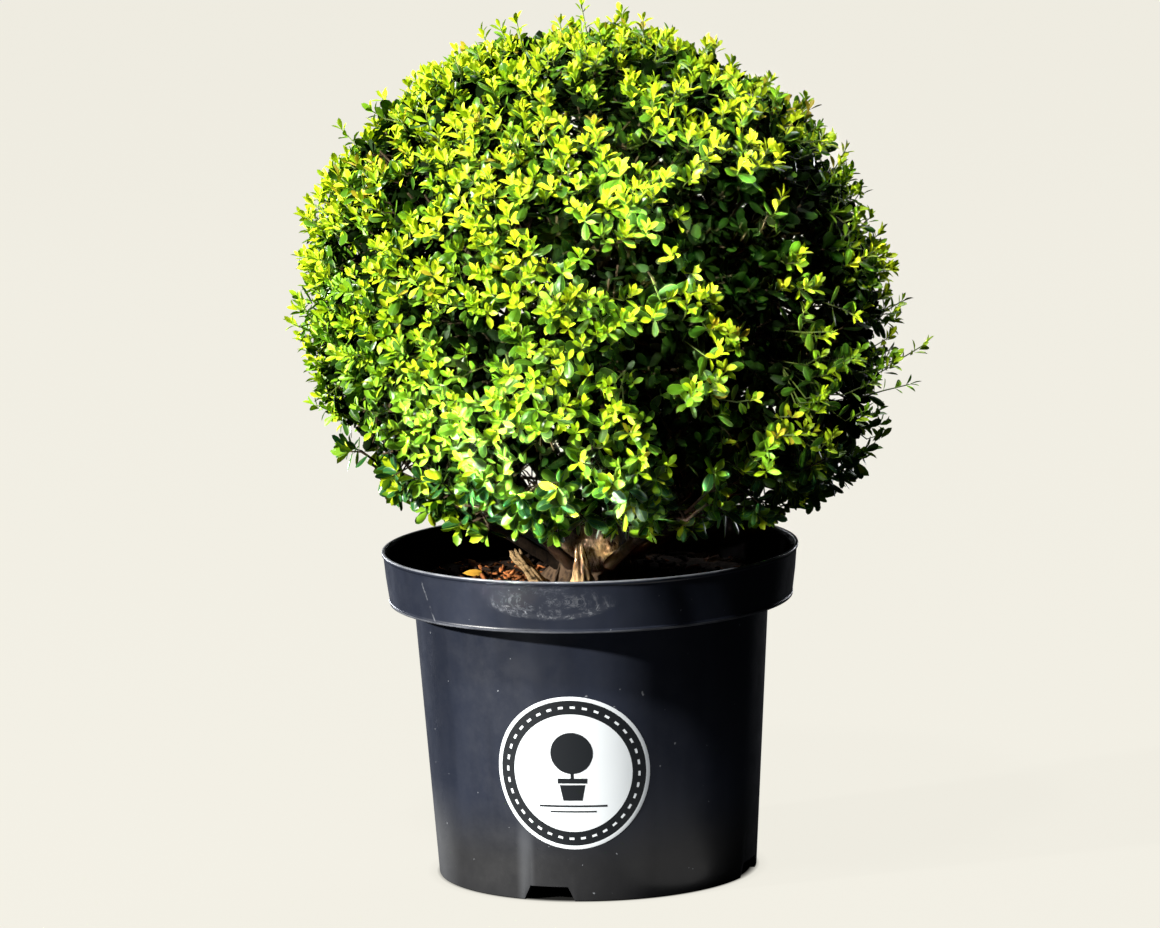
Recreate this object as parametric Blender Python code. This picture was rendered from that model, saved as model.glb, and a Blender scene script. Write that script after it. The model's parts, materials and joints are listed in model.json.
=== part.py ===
"""A clipped ball of small-leaved holly growing in a round black nursery pot.

Metres, +Z up. The origin is the middle of the pot's flat underside, and the pot's label faces -Y.
The ball hangs over the rim on boughs that fork from a short gnarled trunk. Its dense upper part is
one clipped crown on a core, and the loose sprays of its lower hem are masses of their own.
"""

import math
import random

import bmesh
import bpy
from mathutils import Matrix, Vector

# The pot: a 20 litre container with a deep collar that steps out from its tapering body.
POT_HEIGHT = 0.276
RIM_DIAMETER = 0.350
COLLAR_HEIGHT = 0.044
COLLAR_FOOT_DIAMETER = 0.338
BODY_TOP_DIAMETER = 0.298
BASE_DIAMETER = 0.268
WALL = 0.0026
BASE_CHAMFER = 0.0015
RIM_BEAD = 0.0012
POT_SEGMENTS = 48
COLLAR_FOOT = POT_HEIGHT - COLLAR_HEIGHT

# Its floor is raised inside a foot ring, and dips to the ground again in a round pad at the middle.
FLOOR = 0.0035
FLOOR_RAISE = 0.0125
FOOT_RING_WIDTH = 0.0052
FOOT_PAD_RADIUS = 0.080

# Four drain notches cut through the foot ring, the first one left of the front.
NOTCH_COUNT = 4
NOTCH_TURN = math.radians(-18)
NOTCH_HEIGHT = 0.012
NOTCH_TOP_WIDTH = 0.033
NOTCH_FOOT_WIDTH = 0.044
NOTCH_OVERCUT = 0.004

# A round label on the body, a little left of the front.
LABEL_DIAMETER = 0.130
LABEL_THICKNESS = 0.0006
LABEL_HEIGHT = 0.110
LABEL_TURN = math.radians(-8)
LABEL_COLUMNS = 24

# Potting soil, a little under the rim, with a flat patch at its middle that the trunk stands on.
SOIL_LEVEL = 0.241
SOIL_MOUND = 0.004
SOIL_PATCH = 0.062
SOIL_ROUGHNESS = 0.0022
SOIL_WAVES = 6
SOIL_RINGS = 3

# Clearance between pieces that meet.
GAP = 0.0003

# The trunk: a root flare that narrows to a waist and swells to a fork.
GROUND = SOIL_LEVEL + SOIL_MOUND + GAP
TRUNK_HEIGHT = 0.052
TRUNK_DOME = 0.003
TRUNK_FOOT_RADIUS = 0.041
TRUNK_WAIST_RADIUS = 0.027
TRUNK_TOP_RADIUS = 0.030
TRUNK_WAIST = 0.55
TRUNK_LEAN = Vector((0.004, -0.003, 0.0))
TRUNK_ROOTS = 5
TRUNK_ROOT_TURN = math.radians(-90)
TRUNK_ROOT_DEPTH = 0.16
TRUNK_KNOT_DEPTH = 0.05
TRUNK_SIDES = 20
TRUNK_RINGS = 6
FORK = GROUND + TRUNK_HEIGHT

# Two old stubs in front of the trunk's foot: name, foot, rise, radius, and the tip's share of it.
STUBS = (
    ("broken_stub_front", Vector((-0.006, -0.0500, 0.0)), Vector((0.004, 0.004, 0.037)), 0.0084, 0.14),
    ("cut_stub_left", Vector((-0.038, -0.0350, 0.0)), Vector((-0.004, 0.002, 0.027)), 0.0048, 0.95),
)
STUB_STATIONS = (0.0, 0.25, 0.6, 0.82, 1.0)
STUB_FLARE = 0.25
STUB_ROUGHNESS = 0.14
STUB_SIDES = 8

# Clipped outline of the ball, measured from its middle.
BALL_CENTRE = Vector((0.006, 0.0, 0.499))
BALL_HALF_WIDTH = 0.248
BALL_HALF_HEIGHT = 0.219
UPPER_FULLNESS = 2.05
LOWER_FULLNESS = 2.5
BULGE = 0.028
BULGE_AZIMUTH = math.radians(-5)
BULGE_ELEVATION = math.radians(-32)
BULGE_SPREAD = math.radians(26)
HUMMOCK = 0.004
HEM = 0.298

# The crown's core, which its twigs and leaves stand out of.
CORE_SHARE = 0.87
CORE_LUMPS = 0.016
CORE_FLOOR = 0.362
CORE_SEGMENTS = 26
CORE_RINGS = 14

# The crown's twigs stand evenly all round, each with a spray of leaves.
CROWN_FLOOR = 0.352
CROWN_TWIGS = 80
CROWN_TWIG_REACH = 0.925
CROWN_TWIG_LEAVES = 5
CROWN_SHAKE = 0.05
LEAF_ALLOWANCE = 0.004

# Shoots that stand out of the clipped outline: azimuth from +X, elevation, and how far they stand out.
STRAY_SHOOTS = (
    (-95, 86, 0.024),
    (-150, 74, 0.018),
    (-25, 30, 0.016),
    (-8, -11, 0.030),
    (188, 18, 0.014),
    (100, 55, 0.018),
    (60, 12, 0.018),
    (140, -5, 0.016),
)

# Boughs that carry the crown: a leader in the middle, and a ring round it that leans out.
MAIN_BOUGHS = 5
MAIN_FIRST_TURN = math.radians(18)
MAIN_RING = 0.0175
MAIN_FOOT_RADIUS = 0.0073
MAIN_TIP_RADIUS = 0.0052
MAIN_REACH = 0.098
MAIN_REACH_SWING = 0.10
MAIN_BEND_HEIGHT = 0.055
MAIN_BEND_REACH = 0.42
MAIN_SOCKET = 0.010
LEADER_TIP = Vector((0.005, 0.003, 0.342))
LEADER_SWAY = Vector((-0.005, 0.004, 0.0))
LEADER_RINGS = 4
CROWN_STEM_SINK = 0.020
BOUGH_SINK = 0.012
BOUGH_SIDES = 8
BOUGH_RINGS = 6

# Low boughs, each with one loose spray of the hem at its tip.
LOW_BOUGHS = 6
LOW_FOOT_HEIGHT = 0.011
LOW_FOOT_SINK = 0.008
LOW_FOOT_RADIUS = 0.0052
LOW_TIP_RADIUS = 0.0032
LOW_REACH = 0.116
LOW_BEND_REACH = 0.6
LOW_BEND_HEIGHT = 0.030
LOW_TIP_HEIGHT = 0.320
LOW_TIP_SWING = 0.006
LOW_SIDES = 6

# The space of each hem spray, and the twigs that fan out from its stem.
HEM_SPACE_TOP = 0.350
HEM_SPACE_INNER = 0.100
HEM_HALF_SECTOR = math.radians(29.5)
HEM_STEM_LENGTH = 0.044
HEM_STEM_RISE = 0.004
HEM_TWIGS = 9
HEM_TWIG_LEAVES = 4
HEM_TWIG_LENGTHS = (0.054, 0.042, 0.030)
HEM_TWIG_RISES = (34, -26, -4, 12, -34)

# Leaves are twice life size, so that a few hundred of them cover the ball. Sizes are length and width.
CROWN_LEAF = (0.044, 0.029)
HEM_LEAF = (0.032, 0.021)
STRAY_LEAF = (0.029, 0.017)
LEAF_SIZES = (0.82, 1.12)
LEAF_SPLAY = (52, 70)
LEAF_WIDEST = 0.56
LEAF_THICKEST = 0.42
LEAF_THICKNESS = 0.040
LEAF_CUP = 0.05
TIP_LEAF = 0.55
TWIG_RADIUS = 0.0028
TWIG_TAPER = 0.8
TWIG_LIFT = 0.1
TWIG_SINK = 0.009
TWIG_SIDES = 3

GOLDEN_ANGLE = math.pi * (3 - math.sqrt(5))
UP = Vector((0, 0, 1))


def material(name, colour, roughness):
    """A plain Principled material."""
    made = bpy.data.materials.new(name)
    made.use_nodes = True
    shader = made.node_tree.nodes["Principled BSDF"]
    shader.inputs["Base Color"].default_value = (*colour, 1.0)
    shader.inputs["Roughness"].default_value = roughness
    shader.inputs["Metallic"].default_value = 0.0
    return made


def placed(name, bm, finish, parent, at=Vector((0, 0, 0))):
    """Turns a bmesh into a named object with its origin at the given point, under the parent empty."""
    bmesh.ops.translate(bm, verts=bm.verts, vec=-at)
    bmesh.ops.recalc_face_normals(bm, faces=bm.faces)
    mesh = bpy.data.meshes.new(name)
    bm.to_mesh(mesh)
    bm.free()
    mesh.shade_smooth()
    mesh.set_sharp_from_angle(angle=math.radians(35))
    mesh.materials.append(finish)
    obj = bpy.data.objects.new(name, mesh)
    obj.location = at
    obj.parent = parent
    bpy.context.scene.collection.objects.link(obj)
    return obj


def set_finish(obj, finish):
    """Leaves the object with this one material, whatever slots a Boolean gave it."""
    obj.data.materials.clear()
    obj.data.materials.append(finish)


def helper(name, bm):
    """A hidden object that a Boolean reads: a cutter, or a piece to be joined on."""
    bmesh.ops.recalc_face_normals(bm, faces=bm.faces)
    mesh = bpy.data.meshes.new(name)
    bm.to_mesh(mesh)
    bm.free()
    obj = bpy.data.objects.new(name, mesh)
    obj.hide_render = True
    obj.display_type = "WIRE"
    bpy.context.scene.collection.objects.link(obj)
    return obj


def apply_boolean(target, operation, helpers, solver):
    """Joins or cuts the target with every helper in one Boolean, applies it and removes the helpers."""
    group = bpy.data.collections.new("boolean_group")
    bpy.context.scene.collection.children.link(group)
    for obj in helpers:
        group.objects.link(obj)
    step = target.modifiers.new(operation.lower(), "BOOLEAN")
    step.operation = operation
    step.operand_type = "COLLECTION"
    step.collection = group
    step.solver = solver
    with bpy.context.temp_override(object=target, active_object=target):
        bpy.ops.object.modifier_apply(modifier=step.name)
    for obj in helpers:
        mesh = obj.data
        bpy.data.objects.remove(obj)
        bpy.data.meshes.remove(mesh)
    bpy.data.collections.remove(group)


def keep_largest_shell(mesh):
    """Drops the shells that a Boolean leaves beside the main one: loose scraps and sealed hollows."""
    bm = bmesh.new()
    bm.from_mesh(mesh)
    waiting = set(bm.verts)
    shells = []
    while waiting:
        reached = [waiting.pop()]
        shell = []
        while reached:
            vert = reached.pop()
            shell.append(vert)
            for edge in vert.link_edges:
                other = edge.other_vert(vert)
                if other in waiting:
                    waiting.remove(other)
                    reached.append(other)
        shells.append(shell)
    shells.sort(key=len)
    for shell in shells[:-1]:
        bmesh.ops.delete(bm, geom=shell, context="VERTS")
    bm.to_mesh(mesh)
    bm.free()


def ring_faces(bm, lower, upper):
    """Joins two rings of equal count with quads."""
    count = len(lower)
    for i in range(count):
        j = (i + 1) % count
        bm.faces.new((lower[i], lower[j], upper[j], upper[i]))


def round_ring(bm, centre, radius_of, sides):
    """A level ring of corners round the centre, at the radius that the function gives for each turn."""
    ring = []
    for i in range(sides):
        turn = 2 * math.pi * i / sides
        out = Vector((math.cos(turn), math.sin(turn), 0))
        ring.append(bm.verts.new(centre + out * radius_of(turn)))
    return ring


def lathe(profile, height_of=None):
    """A closed solid of revolution from a profile that starts and ends on the axis."""
    bm = bmesh.new()
    rings = []
    for radius, height in profile:
        if radius == 0:
            rings.append([bm.verts.new((0, 0, height))])
            continue
        ring = round_ring(bm, Vector((0, 0, height)), lambda turn, radius=radius: radius, POT_SEGMENTS)
        if height_of:
            for vert in ring:
                vert.co.z = height_of(radius, math.atan2(vert.co.y, vert.co.x), height)
        rings.append(ring)
    for lower, upper in zip(rings, rings[1:]):
        if len(lower) == 1 or len(upper) == 1:
            pole, ring = (lower[0], upper) if len(lower) == 1 else (upper[0], lower)
            for i in range(POT_SEGMENTS):
                bm.faces.new((pole, ring[i], ring[(i + 1) % POT_SEGMENTS]))
        else:
            ring_faces(bm, lower, upper)
    return bm


def curve(foot, middle, tip, count):
    """Points along the quadratic curve from foot to tip that bends towards middle."""
    points = []
    for i in range(count):
        t = i / (count - 1)
        points.append(foot * (1 - t) ** 2 + middle * (2 * t * (1 - t)) + tip * t**2)
    return points


def tapered(first, last, count):
    return [first + (last - first) * i / (count - 1) for i in range(count)]


def limb(points, radii, sides):
    """A closed tapering tube through the points, with flat ends."""
    bm = bmesh.new()
    rings = []
    side = (points[1] - points[0]).orthogonal().normalized()
    for i, point in enumerate(points):
        ahead = (points[min(i + 1, len(points) - 1)] - points[max(i - 1, 0)]).normalized()
        side = (side - ahead * side.dot(ahead)).normalized()
        across = ahead.cross(side)
        ring = []
        for k in range(sides):
            angle = 2 * math.pi * k / sides
            offset = side * math.cos(angle) + across * math.sin(angle)
            ring.append(bm.verts.new(point + offset * radii[i]))
        rings.append(ring)
    for lower, upper in zip(rings, rings[1:]):
        ring_faces(bm, lower, upper)
    bm.faces.new(rings[0][::-1])
    bm.faces.new(rings[-1])
    return bm


def body_radius(height):
    """Outer radius of the pot's body, which tapers evenly from the collar down to the base."""
    share = height / COLLAR_FOOT
    return (BASE_DIAMETER + (BODY_TOP_DIAMETER - BASE_DIAMETER) * share) / 2


def collar_radius(height):
    """Outer radius of the collar, which flares from its foot to the rim."""
    share = (height - COLLAR_FOOT) / COLLAR_HEIGHT
    return (COLLAR_FOOT_DIAMETER + (RIM_DIAMETER - COLLAR_FOOT_DIAMETER) * share) / 2


def notch_cutters():
    """Trapezoid blocks that cut the drain notches through the foot ring."""
    cutters = []
    outside = BASE_DIAMETER / 2 + NOTCH_OVERCUT
    inside = BASE_DIAMETER / 2 - FOOT_RING_WIDTH - NOTCH_OVERCUT
    slope = (NOTCH_FOOT_WIDTH - NOTCH_TOP_WIDTH) / 2 / NOTCH_HEIGHT
    foot = NOTCH_FOOT_WIDTH / 2 + slope * NOTCH_OVERCUT
    top = NOTCH_TOP_WIDTH / 2
    corners = ((-foot, -NOTCH_OVERCUT), (foot, -NOTCH_OVERCUT), (top, NOTCH_HEIGHT), (-top, NOTCH_HEIGHT))
    for i in range(NOTCH_COUNT):
        bm = bmesh.new()
        near = [bm.verts.new((x, -inside, z)) for x, z in corners]
        far = [bm.verts.new((x, -outside, z)) for x, z in corners]
        ring_faces(bm, near, far)
        bm.faces.new(near[::-1])
        bm.faces.new(far)
        bm.transform(Matrix.Rotation(NOTCH_TURN + 2 * math.pi * i / NOTCH_COUNT, 4, "Z"))
        cutters.append(helper(f"notch_cutter_{i}", bm))
    return cutters


def make_pot(finish, parent):
    rim = RIM_DIAMETER / 2
    base = BASE_DIAMETER / 2
    shoulder = COLLAR_FOOT + WALL
    inner_floor = FLOOR_RAISE + FLOOR
    profile = [
        (0, 0),
        (FOOT_PAD_RADIUS, 0),
        (FOOT_PAD_RADIUS, FLOOR_RAISE),
        (base - FOOT_RING_WIDTH, FLOOR_RAISE),
        (base - FOOT_RING_WIDTH, 0),
        (base - BASE_CHAMFER, 0),
        (body_radius(BASE_CHAMFER), BASE_CHAMFER),
        (body_radius(COLLAR_FOOT), COLLAR_FOOT),
        (collar_radius(COLLAR_FOOT), COLLAR_FOOT),
        (rim - RIM_BEAD, POT_HEIGHT - 3 * RIM_BEAD),
        (rim, POT_HEIGHT - 2 * RIM_BEAD),
        (rim, POT_HEIGHT - RIM_BEAD / 2),
        (rim - RIM_BEAD / 2, POT_HEIGHT),
        (rim - WALL, POT_HEIGHT),
        (collar_radius(shoulder) - WALL, shoulder),
        (body_radius(shoulder) - WALL, shoulder),
        (body_radius(inner_floor) - WALL, inner_floor),
        (FOOT_PAD_RADIUS - WALL, inner_floor),
        (FOOT_PAD_RADIUS - WALL, FLOOR),
        (0, FLOOR),
    ]
    pot = placed("pot", lathe(profile), finish, parent)
    apply_boolean(pot, "DIFFERENCE", notch_cutters(), "EXACT")


def label_turns():
    """Where the label's columns stand: on its two ends, on each corner of the pot's sides, and between
    them evenly round its outline, except where two would nearly meet."""
    half = LABEL_DIAMETER / 2 / body_radius(LABEL_HEIGHT)
    side = 2 * math.pi / POT_SEGMENTS
    first = math.ceil((LABEL_TURN - half) / side)
    last = math.floor((LABEL_TURN + half) / side)
    turns = [LABEL_TURN - half, LABEL_TURN + half]
    turns += [k * side for k in range(first, last + 1)]
    for k in range(1, LABEL_COLUMNS):
        turn = LABEL_TURN + half * math.sin(math.pi * (k / LABEL_COLUMNS - 0.5))
        if all(abs(turn - other) > side / LABEL_COLUMNS for other in turns):
            turns.append(turn)
    return sorted(turns), half


def make_label(finish, parent):
    """A thin disc on the flat sides of the pot's body, in columns from its lower to its upper edge."""
    side = 2 * math.pi / POT_SEGMENTS
    turns, half = label_turns()
    bm = bmesh.new()
    skins = []
    for lift in (GAP, GAP + LABEL_THICKNESS):
        edges = []
        for rise in (-1, 1):
            edge = []
            for turn in turns:
                chord = math.sqrt(max(0.0, 1 - ((turn - LABEL_TURN) / half) ** 2))
                height = LABEL_HEIGHT + rise * LABEL_DIAMETER / 2 * chord
                flat = math.cos(side / 2) / math.cos(turn % side - side / 2)
                radius = body_radius(height) * flat + lift
                edge.append(bm.verts.new((radius * math.sin(turn), -radius * math.cos(turn), height)))
            edges.append(edge)
        lower, upper = edges
        for i in range(len(turns) - 1):
            bm.faces.new((lower[i], lower[i + 1], upper[i + 1], upper[i]))
        skins.append(lower + upper[::-1])
    ring_faces(bm, *skins)
    bmesh.ops.remove_doubles(bm, verts=bm.verts, dist=GAP / 3)
    placed("pot_label", bm, finish, parent)


def make_soil(finish, parent):
    """The soil fills the pot just clear of its wall, and rises and falls in small waves on top."""
    rng = random.Random(11)
    phases = [rng.uniform(0, 2 * math.pi) for _ in range(SOIL_WAVES)]
    edge = collar_radius(SOIL_LEVEL - SOIL_ROUGHNESS) - WALL - GAP
    shoulder = COLLAR_FOOT + WALL + GAP
    inner_floor = FLOOR_RAISE + FLOOR
    dip = FOOT_PAD_RADIUS - WALL - GAP

    def crumbly(radius, turn, height):
        if height < SOIL_LEVEL - SOIL_ROUGHNESS or radius <= SOIL_PATCH:
            return height
        wave = 0.0
        for k, phase in enumerate(phases):
            wave += math.sin((k + 3) * turn + phase + 90 * radius * (k % 3 + 1))
        return height + SOIL_ROUGHNESS * 2 * wave / SOIL_WAVES

    profile = [
        (0, FLOOR + GAP),
        (dip, FLOOR + GAP),
        (dip, inner_floor + GAP),
        (body_radius(inner_floor) - WALL - GAP, inner_floor + GAP),
        (body_radius(COLLAR_FOOT) - WALL - GAP, shoulder),
        (collar_radius(shoulder) - WALL - GAP, shoulder),
    ]
    for i in range(SOIL_RINGS + 1):
        share = i / SOIL_RINGS
        profile.append((edge + (SOIL_PATCH - edge) * share, SOIL_LEVEL + SOIL_MOUND * share))
    profile.append((0, SOIL_LEVEL + SOIL_MOUND))
    placed("potting_soil", lathe(profile, crumbly), finish, parent)


def direction(azimuth, elevation):
    """Unit vector at an azimuth from +X and an elevation above the level, in radians."""
    level = math.cos(elevation)
    return Vector((level * math.cos(azimuth), level * math.sin(azimuth), math.sin(elevation)))


def outline_reach(way):
    """Distance from the ball's middle to its clipped outline: a superellipse of revolution, fuller below,
    with one low bulge on its right and shallow hummocks left by the shears."""
    level = math.hypot(way.x, way.y)
    fullness = UPPER_FULLNESS if way.z >= 0 else LOWER_FULLNESS
    share = (level / BALL_HALF_WIDTH) ** fullness + (abs(way.z) / BALL_HALF_HEIGHT) ** fullness
    reach = share ** (-1 / fullness)
    off = way.angle(direction(BULGE_AZIMUTH, BULGE_ELEVATION))
    reach += BULGE * math.exp(-((off / BULGE_SPREAD) ** 2))
    turn = math.atan2(way.y, way.x)
    return reach + HUMMOCK * level * (math.sin(3 * turn + 4 * way.z) + math.cos(5 * turn - 6 * way.z)) / 2


def inside_outline(point, allowance=0.0):
    away = point - BALL_CENTRE
    return away.length <= outline_reach(away.normalized()) + allowance and point.z >= HEM


def core_reach(way):
    """The core follows the outline at a share of its reach, with lumps, and has a flat floor."""
    lump = math.sin(7 * way.x + 3 * way.z) * math.cos(6 * way.y - 4 * way.z)
    reach = outline_reach(way) * (CORE_SHARE + CORE_LUMPS * lump)
    if way.z < 0:
        reach = min(reach, (CORE_FLOOR - BALL_CENTRE.z) / way.z)
    return reach


def leaf(base, along, face, size):
    """A closed thin leaf of eight faces: a kite outline, cupped, with its root sunk in the twig."""
    length, width = size
    along = along.normalized()
    across = along.cross(face).normalized()
    face = across.cross(along).normalized()
    cup = face * (length * LEAF_CUP)
    half = face * (length * LEAF_THICKNESS / 2)
    middle = base + along * (length * LEAF_WIDEST)
    hub = base + along * (length * LEAF_THICKEST) - cup
    bm = bmesh.new()
    root = bm.verts.new(base - along * TWIG_RADIUS * 0.4)
    right = bm.verts.new(middle + across * (width / 2))
    tip = bm.verts.new(base + along * length - cup)
    left = bm.verts.new(middle - across * (width / 2))
    upper = bm.verts.new(hub + half)
    lower = bm.verts.new(hub - half)
    loop = [root, right, tip, left]
    for corner, after in zip(loop, loop[1:] + loop[:1]):
        bm.faces.new((upper, corner, after))
        bm.faces.new((lower, after, corner))
    return bm


def grow(made, space, pieces):
    """Adds a twig or a leaf to the mass's pieces if all of it lies in the mass's own space."""
    fits = all(space(vert.co) for vert in made.verts)
    if fits:
        pieces.append(made)
    else:
        made.free()
    return fits


def leafy_twig(rng, foot, ahead, length, size, leaves, space, pieces):
    """One twig that leans upwards, with leaves in a loose spiral and a small one at its tip."""
    tip = foot + ahead * length + UP * (length * TWIG_LIFT)
    if not grow(limb([foot, tip], [TWIG_RADIUS, TWIG_RADIUS * TWIG_TAPER], TWIG_SIDES), space, pieces):
        return False
    spin = rng.uniform(0, 2 * math.pi)
    side = ahead.orthogonal().normalized()
    for k in range(leaves):
        at = foot.lerp(tip, 0.45 + 0.5 * k / leaves)
        around = Matrix.Rotation(spin + k * GOLDEN_ANGLE, 3, ahead) @ side
        splay = math.radians(rng.uniform(*LEAF_SPLAY))
        along = ahead * math.cos(splay) + around * math.sin(splay)
        scale = rng.uniform(*LEAF_SIZES)
        grow(leaf(at, along, ahead + UP * 0.3, (size[0] * scale, size[1] * scale)), space, pieces)
    grow(leaf(tip, ahead + UP * 0.15, side, (size[0] * TIP_LEAF, size[1] * TIP_LEAF)), space, pieces)
    return True


def join_growth(obj, pieces, finish):
    """Fuses the twigs and leaves to the object with one Boolean union."""
    helpers = [helper(f"piece_{i}", bm) for i, bm in enumerate(pieces)]
    apply_boolean(obj, "UNION", helpers, "MANIFOLD")
    keep_largest_shell(obj.data)
    set_finish(obj, finish)


def main_bough_route(i):
    """A bough of the ring: it leaves the fork steeply, leans out and ends in its socket in the core."""
    turn = MAIN_FIRST_TURN + 2 * math.pi * i / MAIN_BOUGHS
    out = direction(turn, 0)
    reach = MAIN_REACH * (1 + MAIN_REACH_SWING * math.sin(2.3 * i))
    foot = TRUNK_LEAN + out * MAIN_RING + UP * (FORK - BOUGH_SINK)
    tip = out * reach + Vector((BALL_CENTRE.x, 0, CORE_FLOOR + MAIN_SOCKET))
    return foot, out * (reach * MAIN_BEND_REACH) + UP * (FORK + MAIN_BEND_HEIGHT), tip


def leader_route():
    foot = TRUNK_LEAN + UP * (FORK - BOUGH_SINK)
    return foot, (foot + LEADER_TIP) / 2 + LEADER_SWAY, LEADER_TIP


def low_bough_route(i):
    """A low bough: it leaves the side of the trunk's foot and rises gently towards the rim."""
    out = direction(2 * math.pi * i / LOW_BOUGHS, 0)
    start = GROUND + LOW_FOOT_HEIGHT
    foot = out * (TRUNK_WAIST_RADIUS - LOW_FOOT_SINK) + UP * start
    middle = out * (LOW_REACH * LOW_BEND_REACH) + UP * (start + LOW_BEND_HEIGHT)
    tip = out * LOW_REACH + UP * (LOW_TIP_HEIGHT + LOW_TIP_SWING * math.sin(2.1 * i))
    return foot, middle, tip


def bough(route, radii, sides, rings=BOUGH_RINGS, clearance=0.0):
    """A limb along a route. With a clearance it is the socket that holds that limb."""
    points = curve(*route, rings)
    widths = [radius + clearance for radius in tapered(*radii, rings)]
    points[0] = points[0] - (points[1] - points[0]).normalized() * clearance
    points[-1] = points[-1] + (points[-1] - points[-2]).normalized() * clearance
    return limb(points, widths, sides)


def main_bough(i, clearance=0.0):
    radii = (MAIN_FOOT_RADIUS, MAIN_TIP_RADIUS)
    return bough(main_bough_route(i), radii, BOUGH_SIDES, clearance=clearance)


def leader(clearance=0.0):
    radii = (MAIN_FOOT_RADIUS, MAIN_TIP_RADIUS)
    return bough(leader_route(), radii, BOUGH_SIDES, LEADER_RINGS, clearance)


def low_bough(i, clearance=0.0):
    return bough(low_bough_route(i), (LOW_FOOT_RADIUS, LOW_TIP_RADIUS), LOW_SIDES, clearance=clearance)


def growth_from(route, rings=BOUGH_RINGS):
    """Where a mass's stem meets the limb on this route, just clear of its end, and which way it grows."""
    points = curve(*route, rings)
    ahead = (points[-1] - points[-2]).normalized()
    return points[-1] + ahead * GAP, ahead


def make_trunk(finish, parent):
    """The short trunk: lobed where its roots spread, waisted, and swollen again under the fork."""
    bm = bmesh.new()
    rings = []
    for k in range(TRUNK_RINGS):
        share = k / (TRUNK_RINGS - 1)
        flare = (1 - share) ** 2.6
        swell = max(0.0, (share - TRUNK_WAIST) / (1 - TRUNK_WAIST)) ** 1.5
        radius = TRUNK_WAIST_RADIUS + (TRUNK_FOOT_RADIUS - TRUNK_WAIST_RADIUS) * flare
        radius += (TRUNK_TOP_RADIUS - TRUNK_WAIST_RADIUS) * swell

        def gnarled(turn):
            root = math.cos(TRUNK_ROOTS * turn + TRUNK_ROOT_TURN + 0.7 * share)
            knot = math.sin(3 * turn + 5 * share)
            return radius * (1 + TRUNK_ROOT_DEPTH * (0.25 + flare) * root) * (1 + TRUNK_KNOT_DEPTH * knot)

        middle = TRUNK_LEAN * share + UP * (GROUND + TRUNK_HEIGHT * share)
        rings.append(round_ring(bm, middle, gnarled, TRUNK_SIDES))
    for lower, upper in zip(rings, rings[1:]):
        ring_faces(bm, lower, upper)
    bm.faces.new(rings[0][::-1])
    top = bm.verts.new(TRUNK_LEAN + UP * (FORK + TRUNK_DOME))
    for i in range(TRUNK_SIDES):
        bm.faces.new((rings[-1][i], rings[-1][(i + 1) % TRUNK_SIDES], top))
    trunk = placed("trunk", bm, finish, parent, UP * GROUND)
    sockets = [helper(f"main_socket_{i}", main_bough(i, GAP)) for i in range(MAIN_BOUGHS)]
    sockets += [helper(f"low_socket_{i}", low_bough(i, GAP)) for i in range(LOW_BOUGHS)]
    sockets.append(helper("leader_socket", leader(GAP)))
    apply_boolean(trunk, "DIFFERENCE", sockets, "EXACT")


def make_boughs(finish, parent):
    for i in range(MAIN_BOUGHS):
        placed(f"bough_{i + 1}", main_bough(i), finish, parent, main_bough_route(i)[0])
    placed("bough_leader", leader(), finish, parent, leader_route()[0])
    for i in range(LOW_BOUGHS):
        placed(f"low_bough_{i + 1}", low_bough(i), finish, parent, low_bough_route(i)[0])


def make_stubs(finish, parent):
    """Short dead shoots beside the trunk, flat at the ground: one splintered to a point, one cut off."""
    for name, foot, rise, radius, tip_share in STUBS:
        base = foot + UP * GROUND
        bm = bmesh.new()
        rings = []
        for share in STUB_STATIONS:
            width = 1 + (tip_share - 1) * share**2 + (STUB_FLARE if share == 0 else 0)

            def splintered(turn):
                return radius * width * (1 + STUB_ROUGHNESS * math.sin(4 * turn + 9 * share))

            rings.append(round_ring(bm, base + rise * share, splintered, STUB_SIDES))
        for lower, upper in zip(rings, rings[1:]):
            ring_faces(bm, lower, upper)
        bm.faces.new(rings[0][::-1])
        bm.faces.new(rings[-1])
        placed(name, bm, finish, parent, base)


def make_core():
    """The dense middle of the crown: a sphere pushed out to the core's reach."""
    bm = bmesh.new()
    bmesh.ops.create_uvsphere(bm, u_segments=CORE_SEGMENTS, v_segments=CORE_RINGS, radius=1.0)
    for vert in bm.verts:
        way = vert.co.normalized()
        vert.co = BALL_CENTRE + way * core_reach(way)
    return bm


def even_directions(rng, count):
    """Even directions over the whole ball by the golden spiral, a little shaken."""
    for i in range(count):
        height = 1 - 2 * (i + 0.5) / count
        way = direction(i * GOLDEN_ANGLE, math.asin(height))
        shake = Vector((rng.gauss(0, 1), rng.gauss(0, 1), rng.gauss(0, 1))) * CROWN_SHAKE
        yield (way + shake).normalized()


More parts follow.
